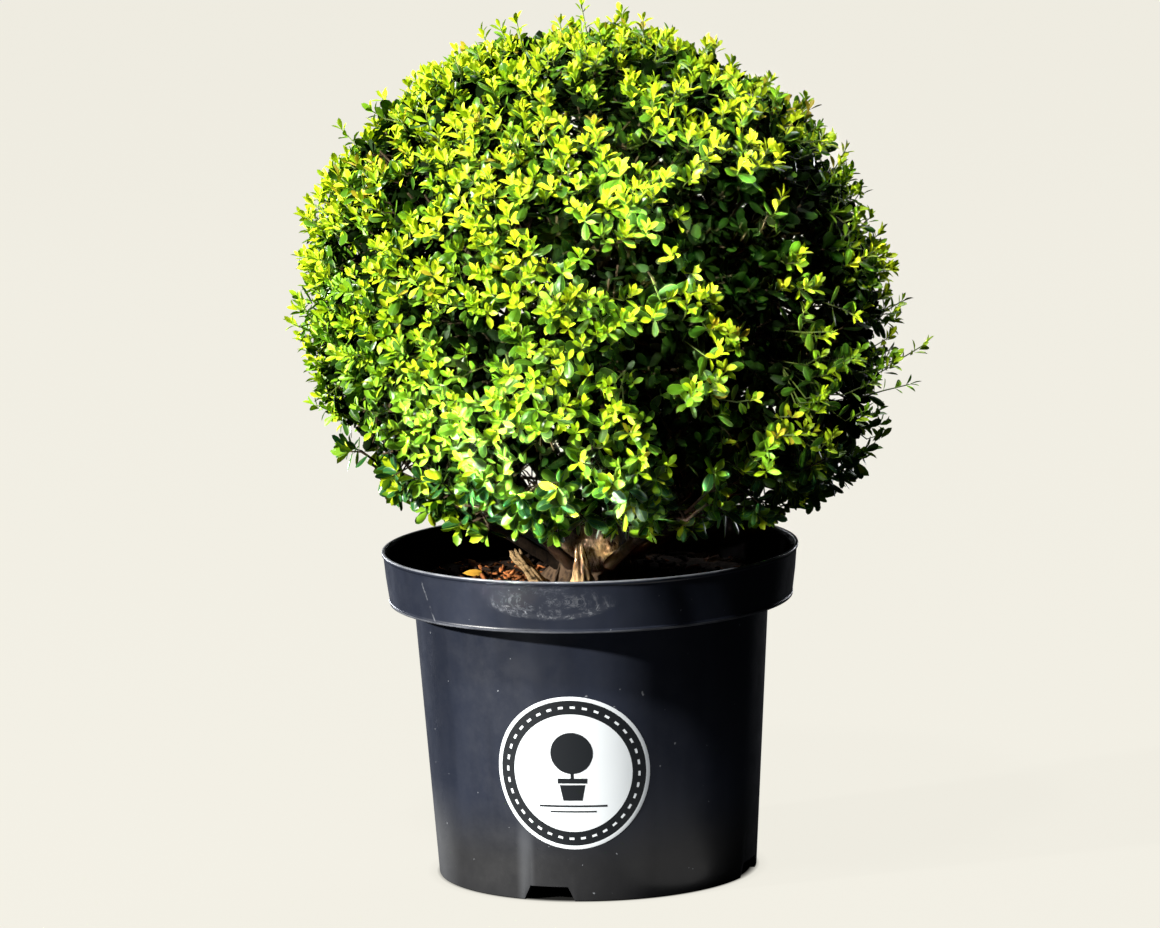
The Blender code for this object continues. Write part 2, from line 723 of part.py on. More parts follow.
def make_crown(finish, parent):
    """The clipped crown: a core on a stem, with leafy twigs all round and a few stray shoots."""
    rng = random.Random(23)
    pieces = []

    def clipped_space(point):
        return point.z > CROWN_FLOOR and inside_outline(point, LEAF_ALLOWANCE)

    def stray_space(point):
        return point.z > CROWN_FLOOR

    for way in even_directions(rng, CROWN_TWIGS):
        foot = BALL_CENTRE + way * (core_reach(way) - TWIG_SINK)
        if foot.z > CROWN_FLOOR + 2 * TWIG_SINK:
            length = outline_reach(way) * CROWN_TWIG_REACH - core_reach(way) + TWIG_SINK
            leafy_twig(rng, foot, way, length, CROWN_LEAF, CROWN_TWIG_LEAVES, clipped_space, pieces)
    for azimuth, elevation, stand in STRAY_SHOOTS:
        way = direction(math.radians(azimuth), math.radians(elevation))
        foot = BALL_CENTRE + way * (core_reach(way) - TWIG_SINK)
        length = outline_reach(way) + stand - core_reach(way) - STRAY_LEAF[0] / 2
        leafy_twig(rng, foot, way, length, STRAY_LEAF, CROWN_TWIG_LEAVES, stray_space, pieces)
    foot, ahead = growth_from(leader_route(), LEADER_RINGS)
    stem_tip = foot + ahead * (CORE_FLOOR + CROWN_STEM_SINK - foot.z)
    pieces.append(limb([foot, stem_tip], [MAIN_TIP_RADIUS, MAIN_TIP_RADIUS], BOUGH_SIDES))
    crown = placed("crown", make_core(), finish, parent)
    join_growth(crown, pieces, finish)
    sockets = [helper(f"crown_socket_{i}", main_bough(i, GAP)) for i in range(MAIN_BOUGHS)]
    apply_boolean(crown, "DIFFERENCE", sockets, "MANIFOLD")
    set_finish(crown, finish)


def hem_space(middle_turn):
    """The space of one hem spray: a sector of the ring between the crown's floor and the hem."""

    def space(point):
        turn = math.atan2(point.y, point.x) - middle_turn
        turn = (turn + math.pi) % (2 * math.pi) - math.pi
        level = math.hypot(point.x, point.y)
        in_ring = level > HEM_SPACE_INNER and point.z < HEM_SPACE_TOP
        return in_ring and abs(turn) < HEM_HALF_SECTOR and inside_outline(point)

    return space


def make_hem_spray(i, finish, parent):
    """One loose spray of the hem: twigs that fan out from one stem, shorter where the space is tight."""
    rng = random.Random(40 + i)
    foot, ahead = growth_from(low_bough_route(i))
    middle_turn = math.atan2(ahead.y, ahead.x)
    space = hem_space(middle_turn)
    bend = foot + ahead * (HEM_STEM_LENGTH / 3)
    end = foot + direction(middle_turn, 0) * HEM_STEM_LENGTH + UP * HEM_STEM_RISE
    pieces = []
    for k in range(HEM_TWIGS):
        share = 0.15 + 0.8 * k / (HEM_TWIGS - 1)
        at = foot.lerp(bend, share * 3) if share < 1 / 3 else bend.lerp(end, share * 1.5 - 0.5)
        side = (-1) ** k * math.radians(rng.uniform(50, 82) * (1.2 - 0.85 * share))
        rise = math.radians(HEM_TWIG_RISES[k % len(HEM_TWIG_RISES)] + rng.uniform(-6, 6))
        way = direction(middle_turn + side, rise)
        for longest in HEM_TWIG_LENGTHS:
            length = longest * rng.uniform(0.9, 1.1)
            if leafy_twig(rng, at, way, length, HEM_LEAF, HEM_TWIG_LEAVES, space, pieces):
                break
    stem = limb([foot, bend, end], tapered(LOW_TIP_RADIUS, TWIG_RADIUS, 3), LOW_SIDES)
    spray = placed(f"hem_spray_{i + 1}", stem, finish, parent)
    join_growth(spray, pieces, finish)


def main():
    for obj in list(bpy.data.objects):
        bpy.data.objects.remove(obj)
    plant = bpy.data.objects.new("potted_holly_ball", None)
    bpy.context.scene.collection.objects.link(plant)
    bark = material("bark", (0.16, 0.10, 0.065), 0.85)
    foliage = material("foliage", (0.17, 0.34, 0.02), 0.45)
    make_pot(material("black_plastic", (0.018, 0.019, 0.023), 0.38), plant)
    make_label(material("white_label", (0.82, 0.85, 0.86), 0.35), plant)
    make_soil(material("potting_soil", (0.030, 0.018, 0.012), 0.9), plant)
    make_stubs(material("pale_wood", (0.50, 0.33, 0.16), 0.8), plant)
    make_trunk(bark, plant)
    make_boughs(bark, plant)
    make_crown(foliage, plant)
    for i in range(LOW_BOUGHS):
        make_hem_spray(i, foliage, plant)


main()
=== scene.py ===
"""The looks of a potted holly ball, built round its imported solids.

The file is laid out as a Blender add-on and is run as a script. Metres, +Z up, with the origin in the
middle of the pot's underside and the label facing -Y. A turn is an angle round +Z. Each shape is a
function of two parameters worked out on a grid, or a profile carried along a path.
"""

import json
import math
from collections import namedtuple

import bpy
import numpy as np
from bpy.props import FloatProperty, FloatVectorProperty, IntProperty, PointerProperty
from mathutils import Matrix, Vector

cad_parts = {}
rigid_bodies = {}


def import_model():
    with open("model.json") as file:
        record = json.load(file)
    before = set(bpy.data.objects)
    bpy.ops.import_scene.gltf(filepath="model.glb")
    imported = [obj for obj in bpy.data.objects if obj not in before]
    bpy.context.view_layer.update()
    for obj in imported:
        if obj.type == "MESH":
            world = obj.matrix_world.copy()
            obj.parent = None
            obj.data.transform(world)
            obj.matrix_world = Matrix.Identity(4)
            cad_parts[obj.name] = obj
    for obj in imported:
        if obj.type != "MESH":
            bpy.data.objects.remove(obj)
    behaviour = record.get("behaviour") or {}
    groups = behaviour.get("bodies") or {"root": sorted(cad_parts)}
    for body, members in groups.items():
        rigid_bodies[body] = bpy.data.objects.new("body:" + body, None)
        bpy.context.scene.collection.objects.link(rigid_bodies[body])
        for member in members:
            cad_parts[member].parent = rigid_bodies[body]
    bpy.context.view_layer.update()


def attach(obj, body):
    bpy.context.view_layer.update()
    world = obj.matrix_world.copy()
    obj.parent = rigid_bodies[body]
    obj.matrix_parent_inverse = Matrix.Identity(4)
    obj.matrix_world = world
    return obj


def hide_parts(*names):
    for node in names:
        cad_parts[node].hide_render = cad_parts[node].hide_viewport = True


bl_info = {
    "name": "Potted Holly Ball",
    "version": (1, 0, 0),
    "blender": (4, 5, 0),
    "location": "3D View > Sidebar > Holly Ball",
    "description": "Builds a clipped holly ball in a nursery pot, and the stage that it stands on",
    "category": "Object",
}

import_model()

UP = np.array((0.0, 0.0, 1.0))
GOLDEN_ANGLE = math.pi * (3 - math.sqrt(5))
BLACK = (0.0, 0.0, 0.0)
WHITE = (1.0, 1.0, 1.0)

# The pot's section, from the same measures as its solid.
POT_HEIGHT = 0.276
RIM_RADIUS = 0.175
RIM_FOOT = 0.2732
COLLAR_FOOT = 0.232
COLLAR_FOOT_RADIUS = 0.169
COLLAR_BEAD = 0.0011
BODY_TOP_RADIUS = 0.149
BASE_RADIUS = 0.134
WALL = 0.0026
FLOOR = 0.0035
FLOOR_RAISE = 0.0125
FOOT_RING_WIDTH = 0.0052
FOOT_PAD_RADIUS = 0.080
POT_COLUMNS = 240
NOTCH_COUNT = 4
NOTCH_TURN = math.radians(-18)
NOTCH_HEIGHT = 0.0118
NOTCH_TOP_HALF = 0.0165
NOTCH_FOOT_HALF = 0.0220

# The marks on the pot's front, as x and height.
FRONT_Y = -0.10
SCUFF_MIDDLE = (-0.033, 0.2590)
SCUFF_HALF = (0.046, 0.0135)
SCUFF_STROKES = ((1.0, 0.0), (0.7, 0.35), (1.3, -0.25))
SCRATCH_PLACE = (-0.1394, 0.2652)
SCRATCH_SLANT = 0.3236
# The x of a pale upright streak on the lower front, painted as a highlight.
PAINTED_STREAK_X = -0.0600

# The label's place on the pot, and its rings of faces as shares of its radius. The dark ring lies
# between the field and the ring's edge, and the dashes in it.
LABEL_HEIGHT = 0.110
LABEL_TURN = math.radians(-8)
LABEL_COLUMNS = 96
LABEL_FIELD = 0.77
LABEL_RING = 0.95
LABEL_RINGS = (0.12, 0.3, 0.5, 0.66, LABEL_FIELD, 0.86, LABEL_RING, 0.985, 1.0)
FILM = 0.0003
PRINT_LIFT = 1.25 * FILM
DASHES = 36
DASH_SHARE = 0.42
DASH_BAND = (0.845, 0.875)

# The label's picture, as shares of its radius: the ball's radius and height, and then half the width at
# the foot and at the top, and the foot and the top of its stem, its pot's rim, its pot and two rules.
PICTURE_BALL = (0.27, 0.26)
PICTURE_BARS = (
    (0.022, 0.022, -0.07, 0.02),
    (0.19, 0.19, -0.135, -0.07),
    (0.125, 0.165, -0.36, -0.155),
    (0.44, 0.44, -0.445, -0.42),
    (0.30, 0.30, -0.515, -0.495),
)

# The soil's surface, and the bark chips on it. One chip in this many lies in the heap at the left.
SOIL_LEVEL = 0.241
SOIL_MOUND = 0.004
SOIL_PATCH = 0.062
SOIL_FOOT = 0.2365
SOIL_CLEARANCE = 0.0001
SOIL_FIRST_RADIUS = 0.004
SOIL_ROWS = 74
SOIL_COLUMNS = 220
CRUMB_GRAIN = 0.022
CHIP_OUTLINE = ((-0.5, -0.16), (0.1, -0.27), (0.5, -0.05), (0.28, 0.22), (-0.38, 0.2))
CHIP_RING = (0.036, 0.160)
CHIP_LENGTHS = (0.003, 0.019)
CHIPS_PER_HEAPED = 12
HEAP_X = (-0.105, -0.040)
HEAP_Y = (-0.035, 0.060)
HEAP_LENGTHS = (0.005, 0.014)

# The fallen leaves: base, direction, upper side, length, width and curl.
FALLEN_LEAVES = (
    ((-0.108, 0.026, 0.2500), (0.9, 0.25, 0.10), (0.1, -0.55, 1.0), 0.017, 0.0095, 0.10),
    ((0.066, -0.112, 0.2465), (-0.4, 0.8, 0.05), (0.1, 0.1, 1.0), 0.018, 0.009, 0.05),
    ((0.02, 0.125, 0.2475), (0.7, -0.6, 0.05), (-0.1, 0.0, 1.0), 0.016, 0.008, 0.12),
)

# The trunk and the boughs. The knob is a turn and a share of the trunk's height.
GROUND = 0.2453
TRUNK_HEIGHT = 0.052
FORK = GROUND + TRUNK_HEIGHT
TRUNK_FOOT_RADIUS = 0.041
TRUNK_WAIST_RADIUS = 0.027
TRUNK_TOP_RADIUS = 0.030
TRUNK_WAIST = 0.55
TRUNK_LEAN = np.array((0.004, -0.003, 0.0))
TRUNK_COLUMNS = 120
TRUNK_ROWS = 64
TRUNK_DOME = np.array([0.93, 0.72, 0.42, 0.14])
TRUNK_DOME_HEIGHT = 0.003
TRUNK_ROOTS = 5
TRUNK_ROOT_TURN = math.radians(-90)
TRUNK_KNOB = (math.radians(-62), 0.62)
KNOB_HEIGHT = 0.006
# A pale patch painted on the trunk round the knob as a pool of light: its middle and its reach.
PAINTED_LIGHT_PATCH = (0.0165, -0.030, 0.2775)
PAINTED_LIGHT_PATCH_RADIUS = 0.0150
BARK_SCALE = 0.006
MAIN_BOUGHS = 5
MAIN_FIRST_TURN = math.radians(18)
MAIN_RING = 0.0175
MAIN_RADII = (0.0073, 0.0052)
MAIN_REACH = 0.098
MAIN_SWING = 0.10
MAIN_BEND_REACH = 0.42
MAIN_BEND_HEIGHT = 0.055
MAIN_TIP_HEIGHT = 0.372
BOUGH_SINK = 0.012
LEADER_TIP = np.array((0.005, 0.003, 0.342))
LEADER_SWAY = np.array((-0.005, 0.004, 0.0))
LOW_BOUGHS = 6
LOW_RADII = (0.0052, 0.0032)
LOW_START = GROUND + 0.011
LOW_FOOT = 0.019
LOW_REACH = 0.116
LOW_BEND_REACH = 0.6
LOW_BEND_HEIGHT = 0.030
LOW_TIP_HEIGHT = 0.320
LOW_TIP_SWING = 0.006

# The dead stubs: piece, node, foot, rise, radius, the tip's share of it, splinters and seed.
STUB_COLUMNS = 40
STUB_ROWS = 34
STUBS = (
    ("broken_stub", "broken_stub_front", (-0.006, -0.0500), (-0.003, 0.004, 0.033), 0.0092, 0.24, 0.012, 91),
    ("cut_stub", "cut_stub_left", (-0.038, -0.0350), (-0.025, 0.002, 0.032), 0.0066, 0.62, 0.004, 93),
)

# The ball's clipped outline.
BALL_CENTRE = np.array((0.006, 0.0, 0.499))
BALL_HALF_WIDTH = 0.248
BALL_HALF_HEIGHT = 0.219
UPPER_FULLNESS = 2.05
LOWER_FULLNESS = 2.5
BULGE = 0.028
BULGE_AZIMUTH = math.radians(-5)
BULGE_ELEVATION = math.radians(-32)
BULGE_SPREAD = math.radians(26)
HUMMOCK = 0.004
SIDE_LIMIT = 0.2500
HEM = 0.298
CROWN_FLOOR = 0.352
TIP_FLOOR = CROWN_FLOOR + 0.004

# Places on the ball are an azimuth and an elevation in degrees, and mostly a span in radians. The hollows
# show the dark inside.
HOLLOWS = (
    (-97, 19, 0.10),
    (-114, -4, 0.10),
    (-52, 13, 0.15),
    (-52, -2, 0.13),
    (-62, 22, 0.11),
    (-30, 22, 0.13),
    (-79, -9, 0.13),
    (-69, -24, 0.13),
    (-100, -27, 0.09),
    (-20, -6, 0.13),
    (-78, 46, 0.10),
    (40, 10, 0.15),
    (95, 25, 0.14),
    (110, -12, 0.15),
    (165, 5, 0.13),
    (60, 40, 0.12),
)
LOW_RIGHT = (-35, -36, 0.5)
CALM_RIGHT = (5, 12, 0.6)
# DARK_LOW_LEFT is where the young leaves are tinted darker, as painted shade.
DARK_LOW_LEFT = (222, -32, 0.55)

# Where the shoots are clipped shorter than the outline, or are left longer where the last value is below
# zero, in metres.
CLIPPED = (
    (196, -36, 0.5, 0.014),
    (187, -12, 0.55, -0.004),
    (*LOW_RIGHT, -0.010),
    (190, 38, 0.5, 0.008),
    (-15, 52, 0.6, 0.010),
    (183, 12, 0.4, -0.003),
)

# Single shoots that stand out from the outline, by metres.
STRAY_SHOOTS = (
    (-95, 86, 0.024),
    (-150, 74, 0.018),
    (-25, 30, 0.016),
    (-8, -11, 0.030),
    (188, 18, 0.009),
    (100, 55, 0.018),
    (60, 12, 0.018),
    (140, -5, 0.016),
)

# The openings in the foliage where the sky shows from the front, as x, height on the view's plane, and
# half their width and height. The view looks down by this angle.
VIEW_DROP = math.radians(9.5)
SKY_WINDOWS = (
    (-0.048, 0.329, 0.0085, 0.0125),
    (-0.150, 0.339, 0.0050, 0.0080),
    (0.209, 0.391, 0.0070, 0.0080),
)

# The crown's stems, branches, branchlets and twigs, each grown from the ones before: their number over
# the whole ball, their tips' share of its reach, the shake of their directions, their lowest tip, the
# first share of the parent that they leave from, and how far they keep to its direction.
CROWN_LIMBS = (
    (30, 0.42, 0.10, 0.385, 0.97, 0.35),
    (110, 0.66, 0.08, TIP_FLOOR, 0.5, 0.30),
    (400, 0.81, 0.05, TIP_FLOOR, 0.5, 0.30),
    (1500, 0.888, 0.03, TIP_FLOOR, 0.4, 0.30),
)

# Twigs as tubes: first and last radius, stations and sides.
CROWN_TUBES = ((0.0046, 0.0032, 7, 7), (0.0030, 0.0021, 6, 6), (0.0019, 0.0013, 5, 5), (0.0012, 0.0009, 4, 4))
SHOOT_TUBES = (0.0008, 0.0005, 3, 3)
HEM_TUBES = ((0.0032, 0.0020, 6, 7), (0.0017, 0.0011, 5, 5), (0.0010, 0.0006, 4, 4), (0.0009, 0.0006, 4, 3))

# The hem's stems and the twigs that fan out from them, its shallow patch at the low left, the patches
# where its shoots stand closer, and the tips of its sprigs that hang lowest.
HEM_STEM_LENGTH = 0.044
HEM_STEM_RISE = 0.004
HEM_TWIGS = 13
HEM_TWIG_RISES = (34, -26, -4, 12, -34)
HEM_TWIG_LENGTH = 0.046
HEM_MARGIN = 0.012
LOW_LEFT = (196, -36, 0.5)
HEM_CORNERS = ((-12, -38, 0.45, 0.45), (205, -38, 0.45, 0.45))
LOW_SPRIGS = np.array((
    (-0.107, -0.110, 0.314),
    (-0.086, -0.122, 0.308),
    (-0.060, -0.130, 0.314),
    (-0.030, -0.138, 0.310),
    (-0.002, -0.142, 0.320),
    (0.048, -0.130, 0.310),
    (0.086, -0.110, 0.307),
    (0.118, -0.090, 0.312),
    (0.148, -0.060, 0.308),
    (0.172, -0.085, 0.330),
    (0.202, -0.062, 0.338),
    (0.224, -0.030, 0.345),
    (0.216, 0.020, 0.342),
    (0.190, -0.020, 0.328),
))

# Leaves in turn from the foot of a shoot: where they sit on it, from and to; their angle to it, from and
# to in degrees; and their length, from and to as shares of the length that is set.
CROWN_GROWN_ROWS = (
    (0.08, 0.30, 55, 85, 0.68, 1.05),
    (0.28, 0.48, 50, 78, 0.68, 1.05),
    (0.45, 0.66, 42, 68, 0.68, 1.05),
)
CROWN_YOUNG_ROWS = (
    (0.50, 0.62, 52, 78, 0.80, 1.15),
    (0.60, 0.72, 50, 74, 0.80, 1.15),
    (0.70, 0.80, 46, 70, 0.80, 1.15),
    (0.78, 0.88, 42, 64, 0.80, 1.15),
    (0.86, 0.93, 36, 58, 0.75, 1.10),
    (0.90, 0.97, 28, 48, 0.75, 1.10),
    (0.95, 1.00, 18, 34, 0.60, 1.00),
    (0.985, 1.00, 4, 14, 0.60, 1.00),
)
CROWN_INNER_ROWS = (
    (0.35, 0.60, 45, 85, 0.65, 1.00),
    (0.50, 0.75, 45, 85, 0.65, 1.00),
    (0.65, 0.85, 45, 85, 0.65, 1.00),
    (0.75, 0.95, 45, 85, 0.65, 1.00),
    (0.85, 1.00, 45, 85, 0.65, 1.00),
    (0.92, 1.00, 45, 85, 0.65, 1.00),
)
HEM_GROWN_ROWS = (
    (0.50, 0.66, 60, 85, 0.80, 1.10),
    (0.66, 0.78, 62, 84, 0.80, 1.10),
    (0.78, 0.86, 58, 80, 0.80, 1.10),
    (0.86, 0.93, 52, 74, 0.80, 1.10),
    (0.92, 0.98, 44, 64, 0.80, 1.10),
    (0.96, 1.00, 30, 50, 0.60, 0.90),
    (0.985, 1.00, 8, 26, 0.60, 0.90),
)
HEM_YOUNG_ROWS = (
    (0.80, 0.90, 50, 75, 1.05, 1.50),
    (0.86, 0.94, 46, 70, 1.05, 1.50),
    (0.90, 0.98, 40, 62, 1.05, 1.50),
    (0.93, 1.00, 32, 52, 1.05, 1.50),
    (0.95, 1.00, 20, 38, 1.05, 1.50),
    (0.99, 1.00, 3, 12, 1.05, 1.50),
)
HEM_INNER_ROWS = (
    (0.50, 0.80, 40, 85, 0.75, 1.10),
    (0.70, 0.90, 40, 85, 0.75, 1.10),
    (0.80, 1.00, 40, 85, 0.75, 1.10),
    (0.90, 1.00, 40, 85, 0.75, 1.10),
    (0.95, 1.00, 40, 85, 0.75, 1.10),
)

# The sets of inner leaves: the limbs that carry them, the leaves on each and the leaves' size.
INNER_SETS = (
    ("twigs", 4, 0.95),
    ("branchlets", 6, 0.95),
    ("branchlets", 5, 1.0),
    *[("branches", 6, 1.4)] * 3,
    *[("stems", 6, 1.5)] * 3,
    ("boughs", 6, 1.5),
    *[("lowest limbs", 6, 0.95)] * 2,
    ("right and top twigs", 6, 1.1),
)

# Leaf finishes: name, the colour's name in the settings, the share of it, roughness and specular level.
CROWN_GROWN_FINISHES = (
    ("deep_green_leaf", "deep_green", 1, 0.30, 0.36),
    ("mid_green_leaf", "mid_green", 1, 0.32, 0.33),
    ("leaf_margin", "margin", 1, 0.40, 0.4),
)
CROWN_INNER_FINISHES = (
    ("shaded_leaf", "deep_green", 0.09, 0.6, 0.02),
    ("shaded_mid_leaf", "deep_green", 0.35, 0.5, 0.08),
)
CROWN_YOUNG_FINISHES = (
    ("fresh_green_leaf", "fresh_green", 1, 0.42, 0.28),
    ("lime_leaf", "lime", 1, 0.44, 0.25),
    ("yellow_leaf", "yellow", 1, 0.46, 0.22),
    ("bronze_leaf", "bronze", 1, 0.46, 0.3),
)
HEM_GROWN_FINISHES = (
    ("blue_green_leaf", "blue_green", 1, 0.30, 0.5),
    ("hem_deep_leaf", "deep_green", 1, 0.32, 0.45),
    ("hem_mid_leaf", "mid_green", 1, 0.35, 0.42),
    ("hem_margin", "margin", 1, 0.40, 0.5),
)
HEM_INNER_FINISHES = (
    ("hem_shaded_leaf", "deep_green", 0.10, 0.5, 0.06),
    ("hem_shaded_mid_leaf", "deep_green", 0.4, 0.45, 0.12),
)
HEM_YOUNG_FINISHES = (
    ("hem_fresh_leaf", "fresh_green", 1, 0.38, 0.45),
    ("hem_lime_leaf", "lime", 1, 0.40, 0.4),
    ("hem_yellow_leaf", "yellow", 1, 0.42, 0.3),
)
MOST_TRIANGLES = 190000

# The stage. A light has its name, its place, its aim, its diameter, its power as a share of the key
# light's, its own power in watts, its colour and its spread in degrees.
FLOOR_HALF = 40.0
LIGHTS = (
    ("key_light", (-4.68, -1.98, 2.30), (0.0, 0.0, 0.42), 0.26, 1.0, 0.0, (1.0, 0.97, 0.90), 180),
    ("top_light", (-0.90, -2.00, 4.40), (0.0, 0.0, 0.45), 0.40, 0.262, 0.0, (1.0, 0.98, 0.93), 180),
    ("sprig_light", (-3.20, -3.80, 2.40), (0.245, -0.04, 0.51), 0.16, 0.0, 1.90, (1.0, 0.97, 0.90), 4.0),
    ("low_light", (-2.35, -2.45, 0.15), (0.0, 0.0, 0.15), 0.26, 0.0155, 0.0, (0.93, 0.96, 1.0), 180),
    ("hem_light", (-2.80, -1.65, 0.43), (0.02, -0.14, 0.392), 0.12, 0.0, 1.05, (1.0, 0.98, 0.93), 2.8),
    ("trunk_light", (-1.60, -2.60, 0.60), (-0.006, -0.045, 0.274), 0.03, 0.0, 0.05, (1.0, 0.90, 0.76), 1.1),
    ("edge_light", (-2.3, 4.2, 0.25), (0.0, 0.0, 0.2), 0.80, 0.0, 85, (0.90, 0.93, 1.0), 180),
    ("right_edge_light", (2.3, 4.2, 0.25), (0.0, 0.0, 0.15), 0.60, 0.0, 22, (0.90, 0.92, 1.0), 180),
    ("floor_glow", (0.14, -0.20, 0.003), (0.14, -0.20, 1.0), 0.20, 0.0, 0.05, (1.0, 0.98, 0.95), 180),
    ("back_light", (1.4, 3.0, 4.4), (0.0, 0.0, 0.4), 2.0, 0.0, 110, (0.92, 0.96, 1.0), 180),
)
CAMERA_PLACE = Vector((-0.0065, -5.44, 1.223))
CAMERA_AIM = Vector((-0.0065, 0, 0.345))
CAMERA_SENSOR = 36
CAMERA_LENS = 204
CAMERA_ROLL = math.radians(-1.5)


# Numbers, noise and directions


def unit(vectors):
    """Each vector divided by its length."""
    return vectors / np.maximum(np.linalg.norm(vectors, axis=-1, keepdims=True), 1e-12)


def directions(azimuths, elevations):
    """Unit vectors at azimuths from +X and elevations above the level, in radians."""
    level = np.cos(elevations)
    return np.stack([level * np.cos(azimuths), level * np.sin(azimuths), np.sin(elevations)], axis=-1)


def noise(points, grain, seed):
    """Smooth noise from -1 to 1: a repeating lattice of seeded numbers, one grain apart, blended between
    its corners by the step 3 f^2 - 2 f^3 in each direction."""
    lattice = np.random.default_rng(seed).uniform(-1, 1, (16, 16, 16))
    place = points / grain
    corner = np.floor(place).astype(int)
    blend = place - corner
    blend = blend * blend * (3 - 2 * blend)
    total = np.zeros(points.shape[:-1])
    for i, j, k in np.ndindex(2, 2, 2):
        share = np.where(i, blend[..., 0], 1 - blend[..., 0])
        share = share * np.where(j, blend[..., 1], 1 - blend[..., 1])
        share = share * np.where(k, blend[..., 2], 1 - blend[..., 2])
        at = (corner + (i, j, k)) % 16
        total += share * lattice[at[..., 0], at[..., 1], at[..., 2]]
    return total


def layered_noise(points, grain, seed, layers=3):
    """Noise added up over layers, each of half the grain and half the height of the one before."""
    total = np.zeros(points.shape[:-1])
    for k in range(layers):
        total += noise(points, grain / 2**k, seed + k) / 2**k
    return total


def even_directions(rng, count, shake):
    """Directions spread evenly over the ball by the golden spiral, each a little shaken."""
    i = np.arange(count)
    ways = directions(i * GOLDEN_ANGLE, np.arcsin(1 - 2 * (i + 0.5) / count))
    return unit(ways + rng.normal(0, shake, (count, 3)))


def outline_reach(ways):
    """Distance from the ball's middle to its clipped outline: (level / a)^n + (height / b)^n = 1, with n
    larger below the middle, plus one low bulge and shallow waves."""
    level = np.hypot(ways[..., 0], ways[..., 1])
    height = ways[..., 2]
    fullness = np.where(height >= 0, UPPER_FULLNESS, LOWER_FULLNESS)
    share = (level / BALL_HALF_WIDTH) ** fullness + (np.abs(height) / BALL_HALF_HEIGHT) ** fullness
    reach = share ** (-1 / fullness)
    bulge = directions(np.array(BULGE_AZIMUTH), np.array(BULGE_ELEVATION))
    off = np.arccos(np.clip(ways @ bulge, -1, 1))
    reach = reach + BULGE * np.exp(-((off / BULGE_SPREAD) ** 2))
    turn = np.arctan2(ways[..., 1], ways[..., 0])
    waves = np.sin(3 * turn + 4 * height) + np.cos(5 * turn - 6 * height)
    return reach + HUMMOCK * level * waves / 2


def leaning_to(ways, azimuth, elevation, span):
    """A soft patch round one direction: exp(-(angle off it / span)^2)."""
    off = np.arccos(np.clip(ways @ directions(*np.radians([azimuth, elevation])), -1, 1))
    return np.exp(-((off / span) ** 2))


def added_patches(ways, rows):
    """Soft patches added up, with their azimuth, elevation, span and height in rows."""
    return sum(height * leaning_to(ways, *place) for *place, height in rows)


def depth_inside(points):
    """How far points lie inside the clipped outline, measured towards the ball's middle."""
    away = points - BALL_CENTRE
    return outline_reach(unit(away)) - np.linalg.norm(away, axis=-1)


def between(rng, first, last, shape):
    """Random numbers spread evenly from first to last."""
    return first + (last - first) * rng.random(shape)


# Meshes


def grid_quads(rows, columns, closed=False):
    """Faces of a grid whose points run along each row in turn; closed joins its last column to its first."""
    last = columns if closed else columns - 1
    row, column = np.meshgrid(np.arange(rows - 1), np.arange(last), indexing="ij")
    after = (column + 1) % columns
    lower, upper = row * columns, (row + 1) * columns
    return np.stack([lower + column, lower + after, upper + after, upper + column], axis=-1).reshape(-1, 4)


def round_grid(radii, turns):
    """Unit directions on the level at these turns, times the radii."""
    return np.stack(np.broadcast_arrays(radii * np.cos(turns), radii * np.sin(turns), 0.0), axis=-1)


def new_piece(name, points, faces, finishes, slot, face_finishes=None, replaces=(), smooth=True):
    """Makes one piece of the root body. Faces is a list of arrays, one for each count of corners, and
    face_finishes gives the number of each face's finish in the same order."""
    mesh = bpy.data.meshes.new(name)
    points = np.asarray(points, np.float32).reshape(-1, 3)
    counts = np.concatenate([np.full(len(part), part.shape[1]) for part in faces])
    corners = np.concatenate([part.ravel() for part in faces])
    mesh.vertices.add(len(points))
    mesh.vertices.foreach_set("co", points.ravel())
    mesh.loops.add(len(corners))
    mesh.loops.foreach_set("vertex_index", corners.astype(np.int32))
    mesh.polygons.add(len(counts))
    starts = np.concatenate([[0], np.cumsum(counts)[:-1]])
    mesh.polygons.foreach_set("loop_start", starts.astype(np.int32))
    for finish in finishes:
        mesh.materials.append(finish)
    if face_finishes is not None:
        mesh.polygons.foreach_set("material_index", np.asarray(face_finishes, np.int32))
    mesh.update(calc_edges=True)
    mesh.validate()
    if smooth:
        mesh.shade_smooth()
    piece = bpy.data.objects.new(name, mesh)
    bpy.context.scene.collection.objects.link(piece)
    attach(piece, "root")
    if replaces:
        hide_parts(*replaces)
    return piece


def sharpen(piece, degrees):
    """Keeps edges sharper than this many degrees crisp."""
    piece.data.set_sharp_from_angle(angle=math.radians(degrees))


def curve_points(routes, shares):
    """Points on quadratic curves: (1-t)^2 foot + 2 t (1-t) bend + t^2 tip. Routes is n by 3 by 3."""
    t = np.asarray(shares)[..., None]
    foot, bend, tip = routes[..., 0, :], routes[..., 1, :], routes[..., 2, :]
    return foot * (1 - t) ** 2 + bend * 2 * t * (1 - t) + tip * t**2


def curve_ways(routes, shares):
    """Unit directions along quadratic curves at those shares of their length."""
    t = np.asarray(shares)[..., None]
    foot, bend, tip = routes[..., 0, :], routes[..., 1, :], routes[..., 2, :]
    return unit((bend - foot) * (1 - t) + (tip - bend) * t)


